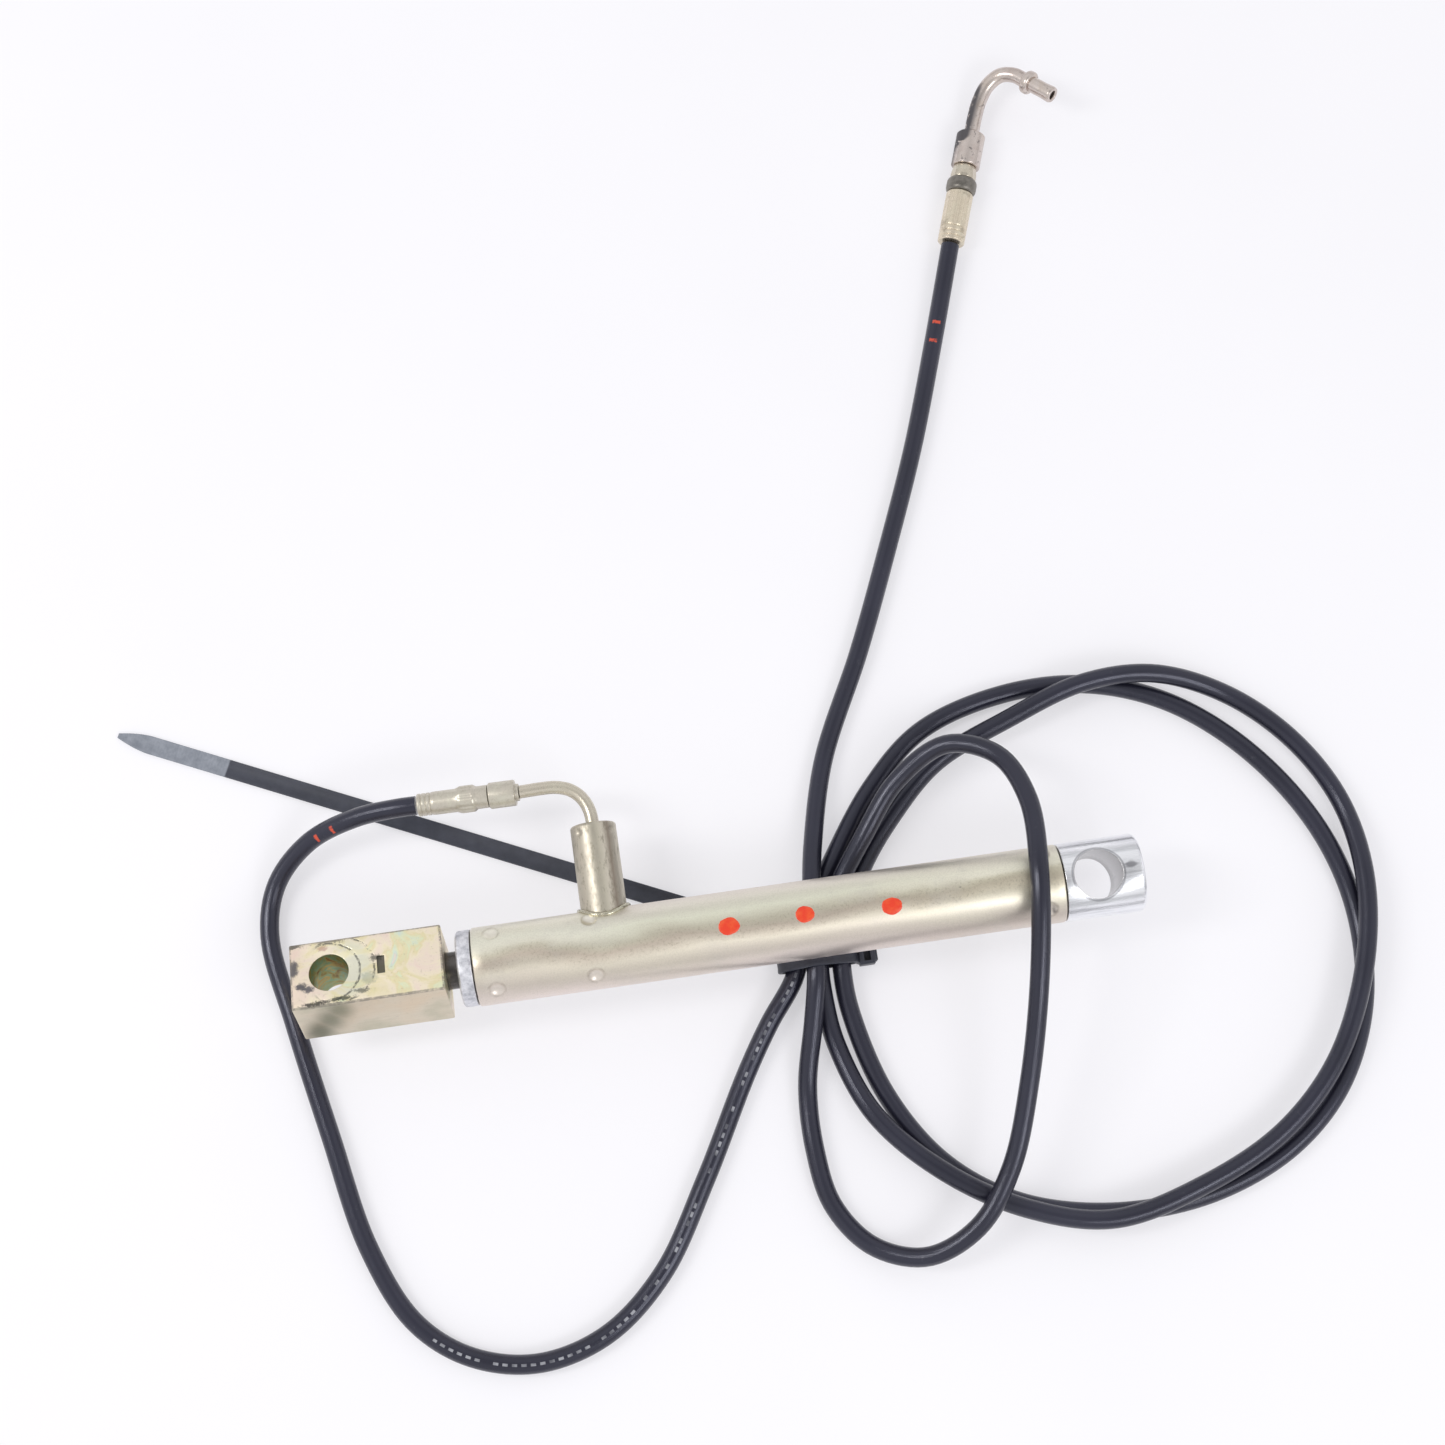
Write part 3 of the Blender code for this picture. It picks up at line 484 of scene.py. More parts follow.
def polished_finish():
    """Bright aluminium with fine lines along its length."""
    f = Finish("aluminium_polished", Metallic=1.0)
    lines = f.noise(1500.0, 5.0, 0.7, at=f.place((0.05, 1, 1)))
    broad = f.noise(420.0, 4.0, 0.6, at=f.place((0.09, 1, 1)))
    reach = f.distance((EYE_X * MM, 0, 0), (1.0, 1.0, 0.0))
    bore = f.fade(reach, 0.00645, 0.00625)
    end_face = f.fade(f.x, -0.0006, -0.0002)
    calm = f.math("MULTIPLY_ADD", f.math("MAXIMUM", bore, end_face), -0.8, 1.0)
    lines = f.shake(0.5, lines, calm)
    broad = f.shake(0.5, broad, calm)
    f.colour = f.ramp(broad, (
        (0.30, (0.66, 0.67, 0.70)), (0.48, (0.88, 0.89, 0.92)), (0.70, (0.93, 0.94, 0.96))))
    f.over(f.fade(lines, 0.52, 0.74, 0.0, 0.45), (0.36, 0.37, 0.40))
    # Painted shade inside the bore, and a darker ring round its mouth.
    f.over(bore, (0.33, 0.32, 0.32), 0.80)
    edge = f.band(reach, 0.00665, 0.0001, 0.0004)
    f.over(edge, (0.26, 0.26, 0.28), 0.60)
    smudge = f.shake(
        f.distance((-0.0034, 0.0012, 0.0095), (0.7, 1.0, 0.5)), broad, 0.003)
    f.over(f.fade(smudge, 0.0005, 0.0013, 0.7, 0.0), (0.22, 0.22, 0.24))
    return f.done(
        f.fade(lines, 0.3, 0.7, 0.16, 0.32),
        (lines, 0.30, 0.00009), (broad, 0.14, 0.0002))


def cast_finish(name, dark, light, metallic=0.85, rough=0.5):
    """Dull, blotched metal."""
    f = Finish(name, Metallic=metallic)
    blotch = f.noise(420.0, 5.0, 0.65)
    grain = f.noise(2400.0, 3.0, 0.7)
    f.colour = f.ramp(blotch, ((0.32, dark), (0.66, light)))
    f.over(f.fade(grain, 0.5, 0.8, 0.0, 0.3), tuple(v * 0.5 for v in dark))
    return f.done(
        f.fade(blotch, 0.3, 0.7, rough - 0.08, rough + 0.10),
        (blotch, 0.35, 0.00025), (grain, 0.3, 0.00008))


def nickel_finish():
    """Warm nickel, with dark stains that gather on the outside of the bend."""
    f = Finish("nickel_stained", Metallic=0.95)
    clouds = f.noise(200.0, 4.0, 0.55)
    f.colour = f.ramp(clouds, (
        (0.32, (0.54, 0.46, 0.42)), (0.52, (0.64, 0.57, 0.53)), (0.70, (0.60, 0.52, 0.46))))
    lean = f.math("MULTIPLY_ADD", f.math("SUBTRACT", f.y, 0.2142), -0.42, f.x)
    lean = f.math("ADD", lean, f.fade(f.y, 0.2095, 0.2122, 0.0028, 0.0))
    outer = f.fade(lean, -0.0054, -0.0070)
    ragged = f.noise(330.0, 5.0, 0.7, 0.5)
    stain = f.times(outer, f.fade(ragged, 0.36, 0.44))
    spots = f.times(f.fade(f.noise(620.0, 3.0, 0.6), 0.62, 0.68), 0.6)
    low = f.fade(f.y, 0.2300, 0.2255)
    stain = f.math("MAXIMUM", f.times(stain, low), f.times(spots, low))
    f.over(stain, (0.08, 0.08, 0.09), 0.92)
    fine = f.noise(1800.0, 3.0, 0.6)
    return f.done(
        f.fade(stain, 0.0, 1.0, 0.24, 0.50),
        (fine, 0.15, 0.00006), (stain, 0.2, 0.00008))


def rod_finish():
    """Hard-chromed steel, a little oily, with a dark base colour that is a painted reflection of the
    shade round it.
    """
    f = Finish("rod_dark", Metallic=0.8)
    film = f.noise(260.0, 4.0, 0.6, at=f.place((0.5, 1, 1)))
    lines = f.noise(1800.0, 3.0, 0.6, at=f.place((1, 0.05, 0.05)))
    f.colour = f.ramp(film, ((0.3, (0.050, 0.046, 0.042)), (0.7, (0.13, 0.12, 0.115))))
    return f.done(f.fade(lines, 0.3, 0.7, 0.20, 0.28), (lines, 0.04, 0.00005))


def paint_finish():
    """Orange-red marking paint, glossy and a little uneven."""
    f = Finish("marking_paint", Metallic=0.0, Coat_Weight=0.15, Coat_Roughness=0.25)
    thick = f.noise(650.0, 4.0, 0.6)
    f.colour = f.ramp(thick, ((0.32, (0.80, 0.090, 0.020)), (0.58, (0.76, 0.038, 0.006))))
    return f.done(f.fade(thick, 0.3, 0.7, 0.30, 0.45), (thick, 0.35, 0.00012))


def hose_finish(print_span, bars):
    """Black hose with faint lengthwise lines, a dashed white line and plain orange bars."""
    f = Finish("hose_black", Metallic=0.0, Specular_IOR_Level=0.62)
    f.shader.inputs["Specular Tint"].default_value = (0.84, 0.86, 1.0, 1.0)
    uv = f.node("ShaderNodeUVMap", {"uv_map": "along"}).outputs[0]
    u, v = f.split(uv)[0:2]
    grit = f.noise(900.0, 4.0, 0.6)
    tone = f.noise(34.0, 3.0, 0.5)
    f.colour = f.ramp(tone, ((0.30, (0.012, 0.012, 0.021)), (0.70, (0.021, 0.021, 0.035))))
    dust = f.fade(f.noise(520.0, 5.0, 0.72), 0.60, 0.76, 0.0, 0.10)
    f.over(dust, (0.20, 0.20, 0.21))
    # the dashed line: plain dashes with gaps, worn in places
    step = f.times(u, 420.0)
    cell = f.math("FLOOR", step)
    chance = f.node(
        "ShaderNodeTexWhiteNoise", {"noise_dimensions": "1D"}, {"W": cell}).outputs["Value"]
    inside = f.band(f.math("FRACT", step), 0.5, 0.26, 0.30)
    on = f.times(inside, f.math("GREATER_THAN", chance, 0.24))
    band = f.band(v, 0.245, 0.019, 0.025)
    span = f.times(
        f.math("GREATER_THAN", u, print_span[0]), f.math("LESS_THAN", u, print_span[1]))
    worn = f.fade(f.noise(240.0, 2.0, 0.5), 0.36, 0.62, 0.20, 0.80)
    dashes = f.times(f.times(on, band), f.times(span, worn))
    f.over(dashes, (0.42, 0.43, 0.46))
    shaky = f.shake(u, grit, 0.0012)
    for middle, height in bars:
        bar = f.times(f.band(shaky, middle, 0.0003, 0.0006), f.band(v, height, 0.064, 0.080))
        f.over(f.times(bar, f.fade(grit, 0.25, 0.5)), ORANGE)
    ribs = f.noise(3.0, 4.0, 0.6, at=f.vector("MULTIPLY", uv, (5.0, 26.0, 1.0)))
    fine = f.noise(2600.0, 3.0, 0.7)
    return f.done(
        f.fade(ribs, 0.3, 0.7, 0.09, 0.27),
        (ribs, 0.30, 0.00018), (fine, 0.25, 0.00006))


def tie_finish():
    """Black nylon; the grip near the tip is frosted grey."""
    f = Finish("tie_nylon", Metallic=0.0, Specular_IOR_Level=0.45)
    uv = f.node("ShaderNodeUVMap", {"uv_map": "along"}).outputs[0]
    u = f.split(uv)[0]
    mottle = f.noise(300.0, 4.0, 0.6)
    black = f.ramp(mottle, ((0.3, (0.034, 0.037, 0.052)), (0.7, (0.050, 0.054, 0.074))))
    frost = f.ramp(f.noise(520.0, 4.0, 0.6), (
        (0.3, (0.190, 0.208, 0.245)), (0.7, (0.280, 0.300, 0.345))))
    grip = f.fade(u, (TIE_GREY - 0.25) * MM, (TIE_GREY + 0.25) * MM, 1.0, 0.0)
    fine = f.noise(2200.0, 3.0, 0.7)
    rough = f.math("ADD", f.fade(mottle, 0.3, 0.7, 0.42, 0.52), f.times(grip, 0.12))
    f.colour = f.mix(grip, black, frost)
    return f.done(rough, (fine, 0.30, 0.00007), (mottle, 0.2, 0.0002))


def rubber_finish():
    f = Finish("seal_rubber", Metallic=0.0)
    tone = f.noise(700.0, 3.0, 0.6)
    f.colour = f.ramp(tone, ((0.3, (0.014, 0.014, 0.014)), (0.7, (0.030, 0.029, 0.028))))
    fine = f.noise(2400.0, 2.0, 0.6)
    return f.done(f.fade(tone, 0.3, 0.7, 0.55, 0.75), (fine, 0.25, 0.00006))


def bronze_finish():
    f = Finish("bearing_bronze", Metallic=0.9)
    tone = f.noise(380.0, 4.0, 0.6)
    lines = f.noise(1600.0, 3.0, 0.6, at=f.place((1, 0.06, 0.06)))
    f.colour = f.ramp(tone, ((0.3, (0.40, 0.24, 0.11)), (0.7, (0.58, 0.38, 0.20))))
    return f.done(f.fade(lines, 0.3, 0.7, 0.30, 0.45), (lines, 0.2, 0.00006))


def floor_finish():
    """A white light table, which glows a little so that shadows stay faint."""
    f = Finish("table_white", Metallic=0.0, Emission_Strength=0.50)
    f.shader.inputs["Emission Color"].default_value = (0.980, 0.970, 1.0, 1.0)
    f.colour = f.ramp(f.noise(9.0, 3.0, 0.5), (
        (0.3, (0.425, 0.422, 0.440)), (0.7, (0.440, 0.437, 0.455))))
    return f.done(0.6)


# ---------------------------------------------------------------- mesh helpers

def spot(point):
    """A listed point (x, y, height above the table) as a place in metres."""
    return Vector((point[0] * MM, point[1] * MM, TABLE_Z + point[2] * MM))


def plain_object(name, work):
    """Turn a bmesh into an object with no material yet."""
    mesh = bpy.data.meshes.new(name)
    work.to_mesh(mesh)
    work.free()
    return put(name, mesh)


def box(size, matrix):
    """A block as a bmesh: its size is in millimetres."""
    work = bmesh.new()
    bmesh.ops.create_cube(work, size=MM, matrix=matrix @ Matrix.Diagonal((*size, 1.0)))
    return work


def new_piece(name, work, finish, slot, body="barrel", replaces=(), sharp=40):
    """Turn a bmesh into a shaded piece that rides on a body of the frame."""
    bmesh.ops.remove_doubles(work, verts=work.verts, dist=1e-7)
    bmesh.ops.recalc_face_normals(work, faces=work.faces)
    piece = plain_object(name, work)
    mesh = piece.data
    mesh.materials.append(finish)
    mesh.shade_smooth()
    mesh.set_sharp_from_angle(angle=math.radians(sharp))
    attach(piece, body)
    if replaces:
        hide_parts(*replaces)
    return piece


def soften(outline, reach):
    """Round the corners of an (along, radius) outline; reach is in millimetres."""
    rounded = []
    count = len(outline)
    for k, corner in enumerate(outline):
        here = Vector(corner)
        ways = [Vector(outline[(k + step) % count]) - here for step in (-1, 1)]
        cross = ways[0].x * ways[1].y - ways[0].y * ways[1].x
        flat = abs(cross) < 0.05 * ways[0].length * ways[1].length
        if here.y <= 0 or flat or reach <= 0:
            rounded.append(tuple(here))
            continue
        a, b = (here + way.normalized() * min(reach, 0.45 * way.length) for way in ways)
        for step in range(5):
            t = step / 4
            rounded.append(tuple(a * (1 - t) ** 2 + here * 2 * t * (1 - t) + b * t * t))
    return rounded


def lathe(outline, reach=0.2, steps=96, start=(0, 0, 0), way=(1, 0, 0), shape=None):
    """Spin a closed outline in millimetres round an axis, as a bmesh.

    shape(along, radius, angle) may give each point another radius.
    """
    turn = Vector(way).to_track_quat("X", "Z").to_matrix()
    points = soften(outline, reach)
    work = bmesh.new()
    columns = []
    for angle in turns(steps):
        column = []
        for j, (along, radius) in enumerate(points):
            if radius <= 0 and columns:
                column.append(columns[0][j])
                continue
            if shape and radius > 0:
                radius = shape(along, radius, angle)
            local = Vector((along, radius * math.sin(angle), radius * math.cos(angle))) * MM
            column.append(work.verts.new(Vector(start) + turn @ local))
        columns.append(column)
    for left, right in zip(columns, columns[1:] + columns[:1]):
        for j in range(len(points)):
            m = (j + 1) % len(points)
            corners = (left[j], left[m], right[m], right[j])
            unique = list(dict.fromkeys(corners))
            if len(unique) > 2:
                work.faces.new(unique)
    return work


def rod_tool(name, radius, start, end, steps=96):
    """A plain round tool body between two places, for cutting."""
    start, end = Vector(start), Vector(end)
    work = bmesh.new()
    turn = (end - start).to_track_quat("Z", "Y").to_matrix().to_4x4()
    bmesh.ops.create_cone(
        work, cap_ends=True, segments=steps, radius1=radius, radius2=radius,
        depth=(end - start).length, matrix=Matrix.Translation((start + end) / 2) @ turn)
    return plain_object(name, work)


def turned(name, outline, reach, steps, finish, node, slot="zinc_yellow", axis=(), shape=None,
           body="barrel", sharp=40):
    """A lathed piece that stands for one CAD node."""
    return new_piece(
        name, lathe(outline, reach, steps, *axis, shape=shape), finish, slot, body, (node,), sharp)


def carve(work, name, tools, edge=0.0, segments=3, limit=50):
    """Cut tool bodies out of a bmesh, ease the edges they leave, and return a bmesh."""
    bmesh.ops.recalc_face_normals(work, faces=work.faces)
    piece = plain_object(name, work)
    for tool in tools:
        change = piece.modifiers.new(tool.name, "BOOLEAN")
        change.operation = "DIFFERENCE"
        change.solver = "EXACT"
        change.object = tool
    if edge:
        ease = piece.modifiers.new("ease", "BEVEL")
        ease.width = edge * MM
        ease.segments = segments
        ease.limit_method = "ANGLE"
        ease.angle_limit = math.radians(limit)
        ease.use_clamp_overlap = True
    bpy.context.view_layer.update()
    graph = bpy.context.evaluated_depsgraph_get()
    result = bmesh.new()
    result.from_mesh(piece.evaluated_get(graph).to_mesh())
    for item in [piece, *tools]:
        bpy.data.objects.remove(item, do_unlink=True)
    return result


def blend(a, b, low, high, t):
    """From a, where t is low, to b, where it is high."""
    return (high - t) / (high - low) * a + (t - low) / (high - low) * b


def smooth_path(points, per_span=24):
    """Centripetal Catmull-Rom curve through every listed point."""
    places = [np.array(spot(point)) for point in points]
    first = 2 * places[0] - places[1]
    last = 2 * places[-1] - places[-2]
    places = [first] + places + [last]
    path = []
    for p0, p1, p2, p3 in zip(places, places[1:], places[2:], places[3:]):
        t1 = np.linalg.norm(p1 - p0) ** 0.5
        t2 = t1 + np.linalg.norm(p2 - p1) ** 0.5
        t3 = t2 + np.linalg.norm(p3 - p2) ** 0.5
        for step in range(per_span):
            t = t1 + (t2 - t1) * step / per_span
            a1 = blend(p0, p1, 0, t1, t)
            a2 = blend(p1, p2, t1, t2, t)
            a3 = blend(p2, p3, t2, t3, t)
            b1 = blend(a1, a2, 0, t2, t)
            b2 = blend(a2, a3, t1, t3, t)
            path.append(blend(b1, b2, t1, t2, t))
    path.append(places[-2])
    return np.array(path)


def even(path, spacing):
    """The same path with its points a set distance apart."""
    steps = np.linalg.norm(np.diff(path, axis=0), axis=1)
    along = np.concatenate(([0.0], np.cumsum(steps)))
    wanted = np.linspace(0.0, along[-1], max(2, round(along[-1] / spacing) + 1))
    return np.stack([np.interp(wanted, along, path[:, k]) for k in range(3)], axis=1), wanted


def turns(count):
    """Evenly spaced angles, once round."""
    return [math.tau * k / count for k in range(count)]


def ring_of(work, middle, heading, upright, radius, sides):
    """Points round a middle, square to a heading."""
    right = heading.cross(Vector(upright)).normalized()
    up = right.cross(heading)
    return [work.verts.new(middle + radius * (math.cos(a) * right + math.sin(a) * up))
            for a in turns(sides)]


def skin(work, rings, along, closed=False, side=None):
    """Join rings with faces. The map "along" holds each ring's length, and the turn or a side."""
    layer = work.loops.layers.uv.get("along") or work.loops.layers.uv.new("along")
    sides = len(rings[0])
    pairs = list(zip(range(len(rings)), [*range(1, len(rings)), 0]))
    for k, m in pairs if closed else pairs[:-1]:
        for j in range(sides):
            n = (j + 1) % sides
            face = work.faces.new((rings[k][j], rings[k][n], rings[m][n], rings[m][j]))
            for loop, row, turn in zip(face.loops, (k, k, m, m), (j, j + 1, j + 1, j)):
                loop[layer].uv = (along[row], side or turn / sides)
    if not closed:
        for row in (0, -1):
            face = work.faces.new(rings[row])
            for loop in face.loops:
                loop[layer].uv = (along[row], side or 0.9)


def sweep(path, along, radius, sides=20):
    """A round bar along a path."""
    work = bmesh.new()
    rings = []
    for k, middle in enumerate(path):
        ahead, behind = path[min(k + 1, len(path) - 1)], path[max(k - 1, 0)]
        heading = Vector(ahead - behind).normalized()
        rings.append(ring_of(work, Vector(middle), heading, (0, 0, 1), radius, sides))
    skin(work, rings, along)
    return work


# ---------------------------------------------------------------- pieces

def make_hose():
    path, along = even(smooth_path(ROUTE), 1.8 * MM)
    path[:, 2] = np.maximum(path[:, 2], TABLE_Z + HOSE_R * MM)

    def length_at(x, y, first, last):
        off = np.hypot(path[:, 0] - x * MM, path[:, 1] - y * MM)
        off[(along < first) | (along > last)] = 9.9
        return float(along[off.argmin()])

    bars = [(length_at(x, y, first, last), height) for x, y, first, last, height in HOSE_BARS]
    span = (length_at(-194.5, -91.0, 0.1, 0.4), length_at(-91.0, -9.0, 0.2, 0.5))
    hose = new_piece(
        "hose_line", sweep(path, along, HOSE_R * MM), hose_finish(span, bars),
        "hose_black", replaces=("hose",), sharp=60)
    return hose, path, along[-1]


def make_tube(finish):
    """The barrel's tube, with fine rows of points where it is staked."""
    fine = [row - 2.4 + 0.3 * k for row in DENT_ROWS for k in range(17)]
    plain = [-167.1 + 3.0 * k for k in range(49)]
    fine += [x for x in plain if all(abs(x - row) > 2.5 for row in DENT_ROWS)]

    def staked(along, radius, angle):
        for row in DENT_ROWS:
            reach = math.hypot(along - row, off_mark(angle, 45) * TUBE_R)
            if radius >= 9.9 and reach < 2.6:
                ball = math.sqrt(DENT_BALL ** 2 - reach ** 2)
                rim = 0.05 * math.exp(-((reach - 2.1) / 0.22) ** 2)
                return radius - max(0.0, ball - DENT_BALL + DENT_DEPTH) + rim
        return radius

    outline = [(-170.5, 8.05), (-170.5, 9.6), (-170.35, 9.88), (-170.1, 10.0)]
    outline += [(x, TUBE_R) for x in sorted(fine)[1:]]
    outline += [(-20.9, 10.0), (-20.62, 9.9), (-20.5, 9.65), (-20.5, 8.05)]
    outline += [(-60.0, 8.05), (-120.0, 8.05)]
    turned("tube_staked", outline, 0, 160, finish, "cylinder_tube", shape=staked, sharp=50)


def make_eye(finish):
    outline = (
        (-37.0, 0.0), (-37.0, 7.2), (-36.5, 7.7), (-33.4, 7.7), (-33.4, 6.3), (-30.6, 6.3),
        (-30.6, 7.7), (-26.9, 7.7), (-26.9, 6.8), (-23.1, 6.8), (-23.1, 7.7), (-20.25, 7.7),
        (-20.25, 10.0), (-0.8, 10.0), (0.0, 9.2), (0.0, 0.0))
    height = 14 * MM
    tool = rod_tool(
        "eye_tool", EYE_BORE_R * MM, (EYE_X * MM, 0, -height), (EYE_X * MM, 0, height), 112)
    work = carve(lathe(outline, 0.25, 128), "eye_work", [tool], 0.3, 3, 38)
    new_piece("eye_end", work, finish, "aluminium", replaces=("eye_plug",), sharp=34)


def make_gland(finish):
    outline = (
        (-174.5, 9.1), (-174.0, 9.7), (-170.8, 9.7), (-170.8, 7.7), (-167.0, 7.7),
        (-167.0, 6.6), (-163.6, 6.6), (-163.6, 7.7), (-156.5, 7.7), (-156.5, 6.3),
        (-153.7, 6.3), (-153.7, 7.7), (-142.0, 7.7), (-142.0, 6.4), (-133.5, 6.4),
        (-133.5, 7.1), (-131.0, 7.1), (-131.0, 5.05), (-143.4, 5.05), (-143.4, 5.9),
        (-152.6, 5.9), (-152.6, 5.05), (-157.9, 5.05), (-157.9, 6.6), (-161.6, 6.6),
        (-161.6, 5.05), (-171.3, 5.05), (-171.3, 6.4), (-174.5, 6.4))
    turned("gland_end", outline, 0.22, 112, finish, "gland", "gland_aluminium", sharp=34)


def make_port(zinc, braze, pipe):
    """The sleeve with its stake marks, the bead round its foot and the bent pipe."""
    def marked(along, radius, angle):
        reach = math.hypot(along - 29.6, off_mark(angle, 38) * PORT_R)
        if radius < 5.8 or reach >= 0.9:
            return radius
        return radius - 0.32 * (1 - (reach / 0.9) ** 2)

    side = [(31.2 - 0.22 * k, PORT_R) for k in range(14)]
    outline = [(7.0, 2.5), (20.0, 2.5), (21.5, 3.9), (31.7, 3.9), (32.0, 4.2), (32.0, 5.1),
               (31.85, 5.55), (31.55, 5.82)] + side + [(20.0, PORT_R), (7.0, PORT_R)]
    work = lathe(outline, 0, 112, (PORT_X * MM, 0, 0), (0, 1, 0), marked)
    saddle = rod_tool("saddle_tool", 10.0 * MM, (-0.16, 0, 0), (-0.11, 0, 0), 160)
    new_piece("port_sleeve_turned", carve(work, "port_work", [saddle]), zinc, "zinc_yellow",
              replaces=("port_sleeve",), sharp=40)

    around = []
    for angle in turns(96):
        lump = noise.noise(Vector((3 * math.cos(angle), 3 * math.sin(angle), 0.4)))
        reach = PORT_R + 0.35 + 0.18 * lump
        across = reach * math.sin(angle)
        place = Vector((PORT_X + reach * math.cos(angle), 0, across))
        place.y = math.sqrt(TUBE_R ** 2 - across ** 2) + 0.18
        around.append(place)
    bead = bmesh.new()
    rings = []
    for k, middle in enumerate(around):
        heading = (around[(k + 1) % 96] - around[k - 1]).normalized()
        fat = 0.62 + 0.16 * noise.noise(Vector((middle.x * 0.9, middle.z * 0.9, 7.0)))
        rings.append(ring_of(bead, middle * MM, heading, (0, 1, 0), fat * MM, 12))
    skin(bead, rings, [0.0] * len(rings), True)
    new_piece("port_braze", bead, braze, "zinc_yellow")

    path, along = even(smooth_path(NEAR_PIPE), 0.6 * MM)
    new_piece("port_pipe", sweep(path, along, 1.7 * MM, 40), pipe, "zinc_yellow",
              replaces=("near_pipe",), sharp=50)


def off_mark(angle, first):
    """How far an angle is from the nearest of four marks, a quarter turn apart."""
    return (angle - math.radians(first) + math.pi / 4) % (math.pi / 2) - math.pi / 4


def crimped(first, last, count, depth):
    """A radius rule with flats pressed in between two lengths along the axis."""
    def shape(along, radius, angle):
        inside = min(along - first, last - along)
        if inside <= 0 or radius < 1:
            return radius
        press = math.cos(angle * count / 2) ** 8
        return radius - depth * press * min(1.0, inside / 0.6)
    return shape


def make_near_fitting(collar, ferrule):
    start = spot(NEAR_START)
    axis = (start, spot(ROUTE[0]) - start)
    outline = (
        (0.0, 1.0), (0.0, 2.25), (0.9, 2.25), (0.9, 3.15), (1.15, 3.4), (7.5, 3.4),
        (7.8, 3.1), (7.8, 1.0))
    turned("near_collar_turned", outline, 0.12, 80, collar, "near_collar", axis=axis)
    rows = [(17.0 + 0.35 * k, 3.02) for k in range(15)]
    outline = [(8.0, 0.0), (8.0, 2.95), (10.9, 2.95), (11.6, 3.45), (11.9, 3.55)]
    outline += [(12.3 + 0.3 * k, 3.55) for k in range(10)]
    outline += [(15.6, 3.35), (16.3, 3.05)] + rows
    for at in (22.85, 24.05, 25.25):
        outline += [(at - 0.25, 2.95), (at, 2.72), (at + 0.25, 2.95)]
    outline += [(26.1, 2.95), (26.35, 2.75), (26.35, 0.0)]
    turned("near_ferrule_crimped", outline, 0.07, 96, ferrule, "near_ferrule", axis=axis,
           shape=crimped(11.4, 15.8, 8, 0.24))


def make_far_fitting(zinc, worn, band, nickel):
    start = spot(FAR_START)
    axis = (start, spot(FAR_END) - start)
    rows = [(5.4 + 0.5 * k, 3.75) for k in range(19)]
    outline = [(0.0, 0.0), (0.0, 3.45), (0.25, 3.72), (1.1, 3.75), (1.35, 3.5), (1.6, 3.75),
               (2.5, 3.75), (2.75, 3.5), (3.0, 3.75), (4.0, 3.75), (4.25, 3.55),
               (4.5, 3.75)] + rows + [(14.7, 3.65), (14.95, 3.4), (14.95, 0.0)]
    sleeve = turned("far_ferrule_crimped", outline, 0.08, 112, zinc, "far_ferrule", axis=axis,
                    shape=crimped(4.7, 14.8, 10, 0.20))
    outline = ((15.0, 0.0), (15.0, 3.7), (15.8, 4.2), (18.3, 4.2), (19.1, 3.6), (19.1, 0.0))
    ring = turned("far_band_pressed", outline, 0.6, 96, band, "far_band", "dark_steel", axis)
    outline = ((19.1, 0.0), (19.1, 3.45), (20.0, 3.6), (21.2, 3.45), (22.9, 3.15), (22.9, 0.0))
    neck = turned("far_neck_turned", outline, 0.2, 96, worn, "far_neck", axis=axis,
                  shape=crimped(19.0, 22.9, 6, 0.16))
    outline = ((23.0, 0.0), (23.0, 3.75), (23.25, 4.0), (32.6, 4.0), (33.1, 3.55),
               (33.1, 2.3), (32.7, 2.1), (32.7, 0.0))
    collar = turned("far_collar_turned", outline, 0.14, 96, nickel, "far_collar", "nickel", axis)
    path, along = even(smooth_path(FAR_PIPE), 0.6 * MM)
    pipe = new_piece("far_elbow", sweep(path, along, 2.08 * MM, 44), nickel, "nickel",
                     replaces=("far_pipe",), sharp=50)
    start = spot(NIPPLE_START)
    axis = (start, spot(NIPPLE_TIP) - start)
    outline = ((-0.2, 0.0), (-0.2, 2.5), (0.35, 3.25), (1.9, 3.3), (2.4, 2.7), (2.4, 0.0))
    flange = turned("far_bead", outline, 0.5, 96, nickel, "far_flange", "nickel", axis)
    outline = ((2.3, 0.0), (2.3, 2.2), (6.0, 2.15), (9.2, 2.3), (9.75, 2.05), (9.75, 1.35),
               (9.4, 1.2), (3.7, 1.2), (3.7, 0.0))
    nipple = turned("far_nipple_bored", outline, 0.12, 80, nickel, "far_nipple", "nickel", axis)
    return [sleeve, ring, neck, collar, pipe, flange, nipple]


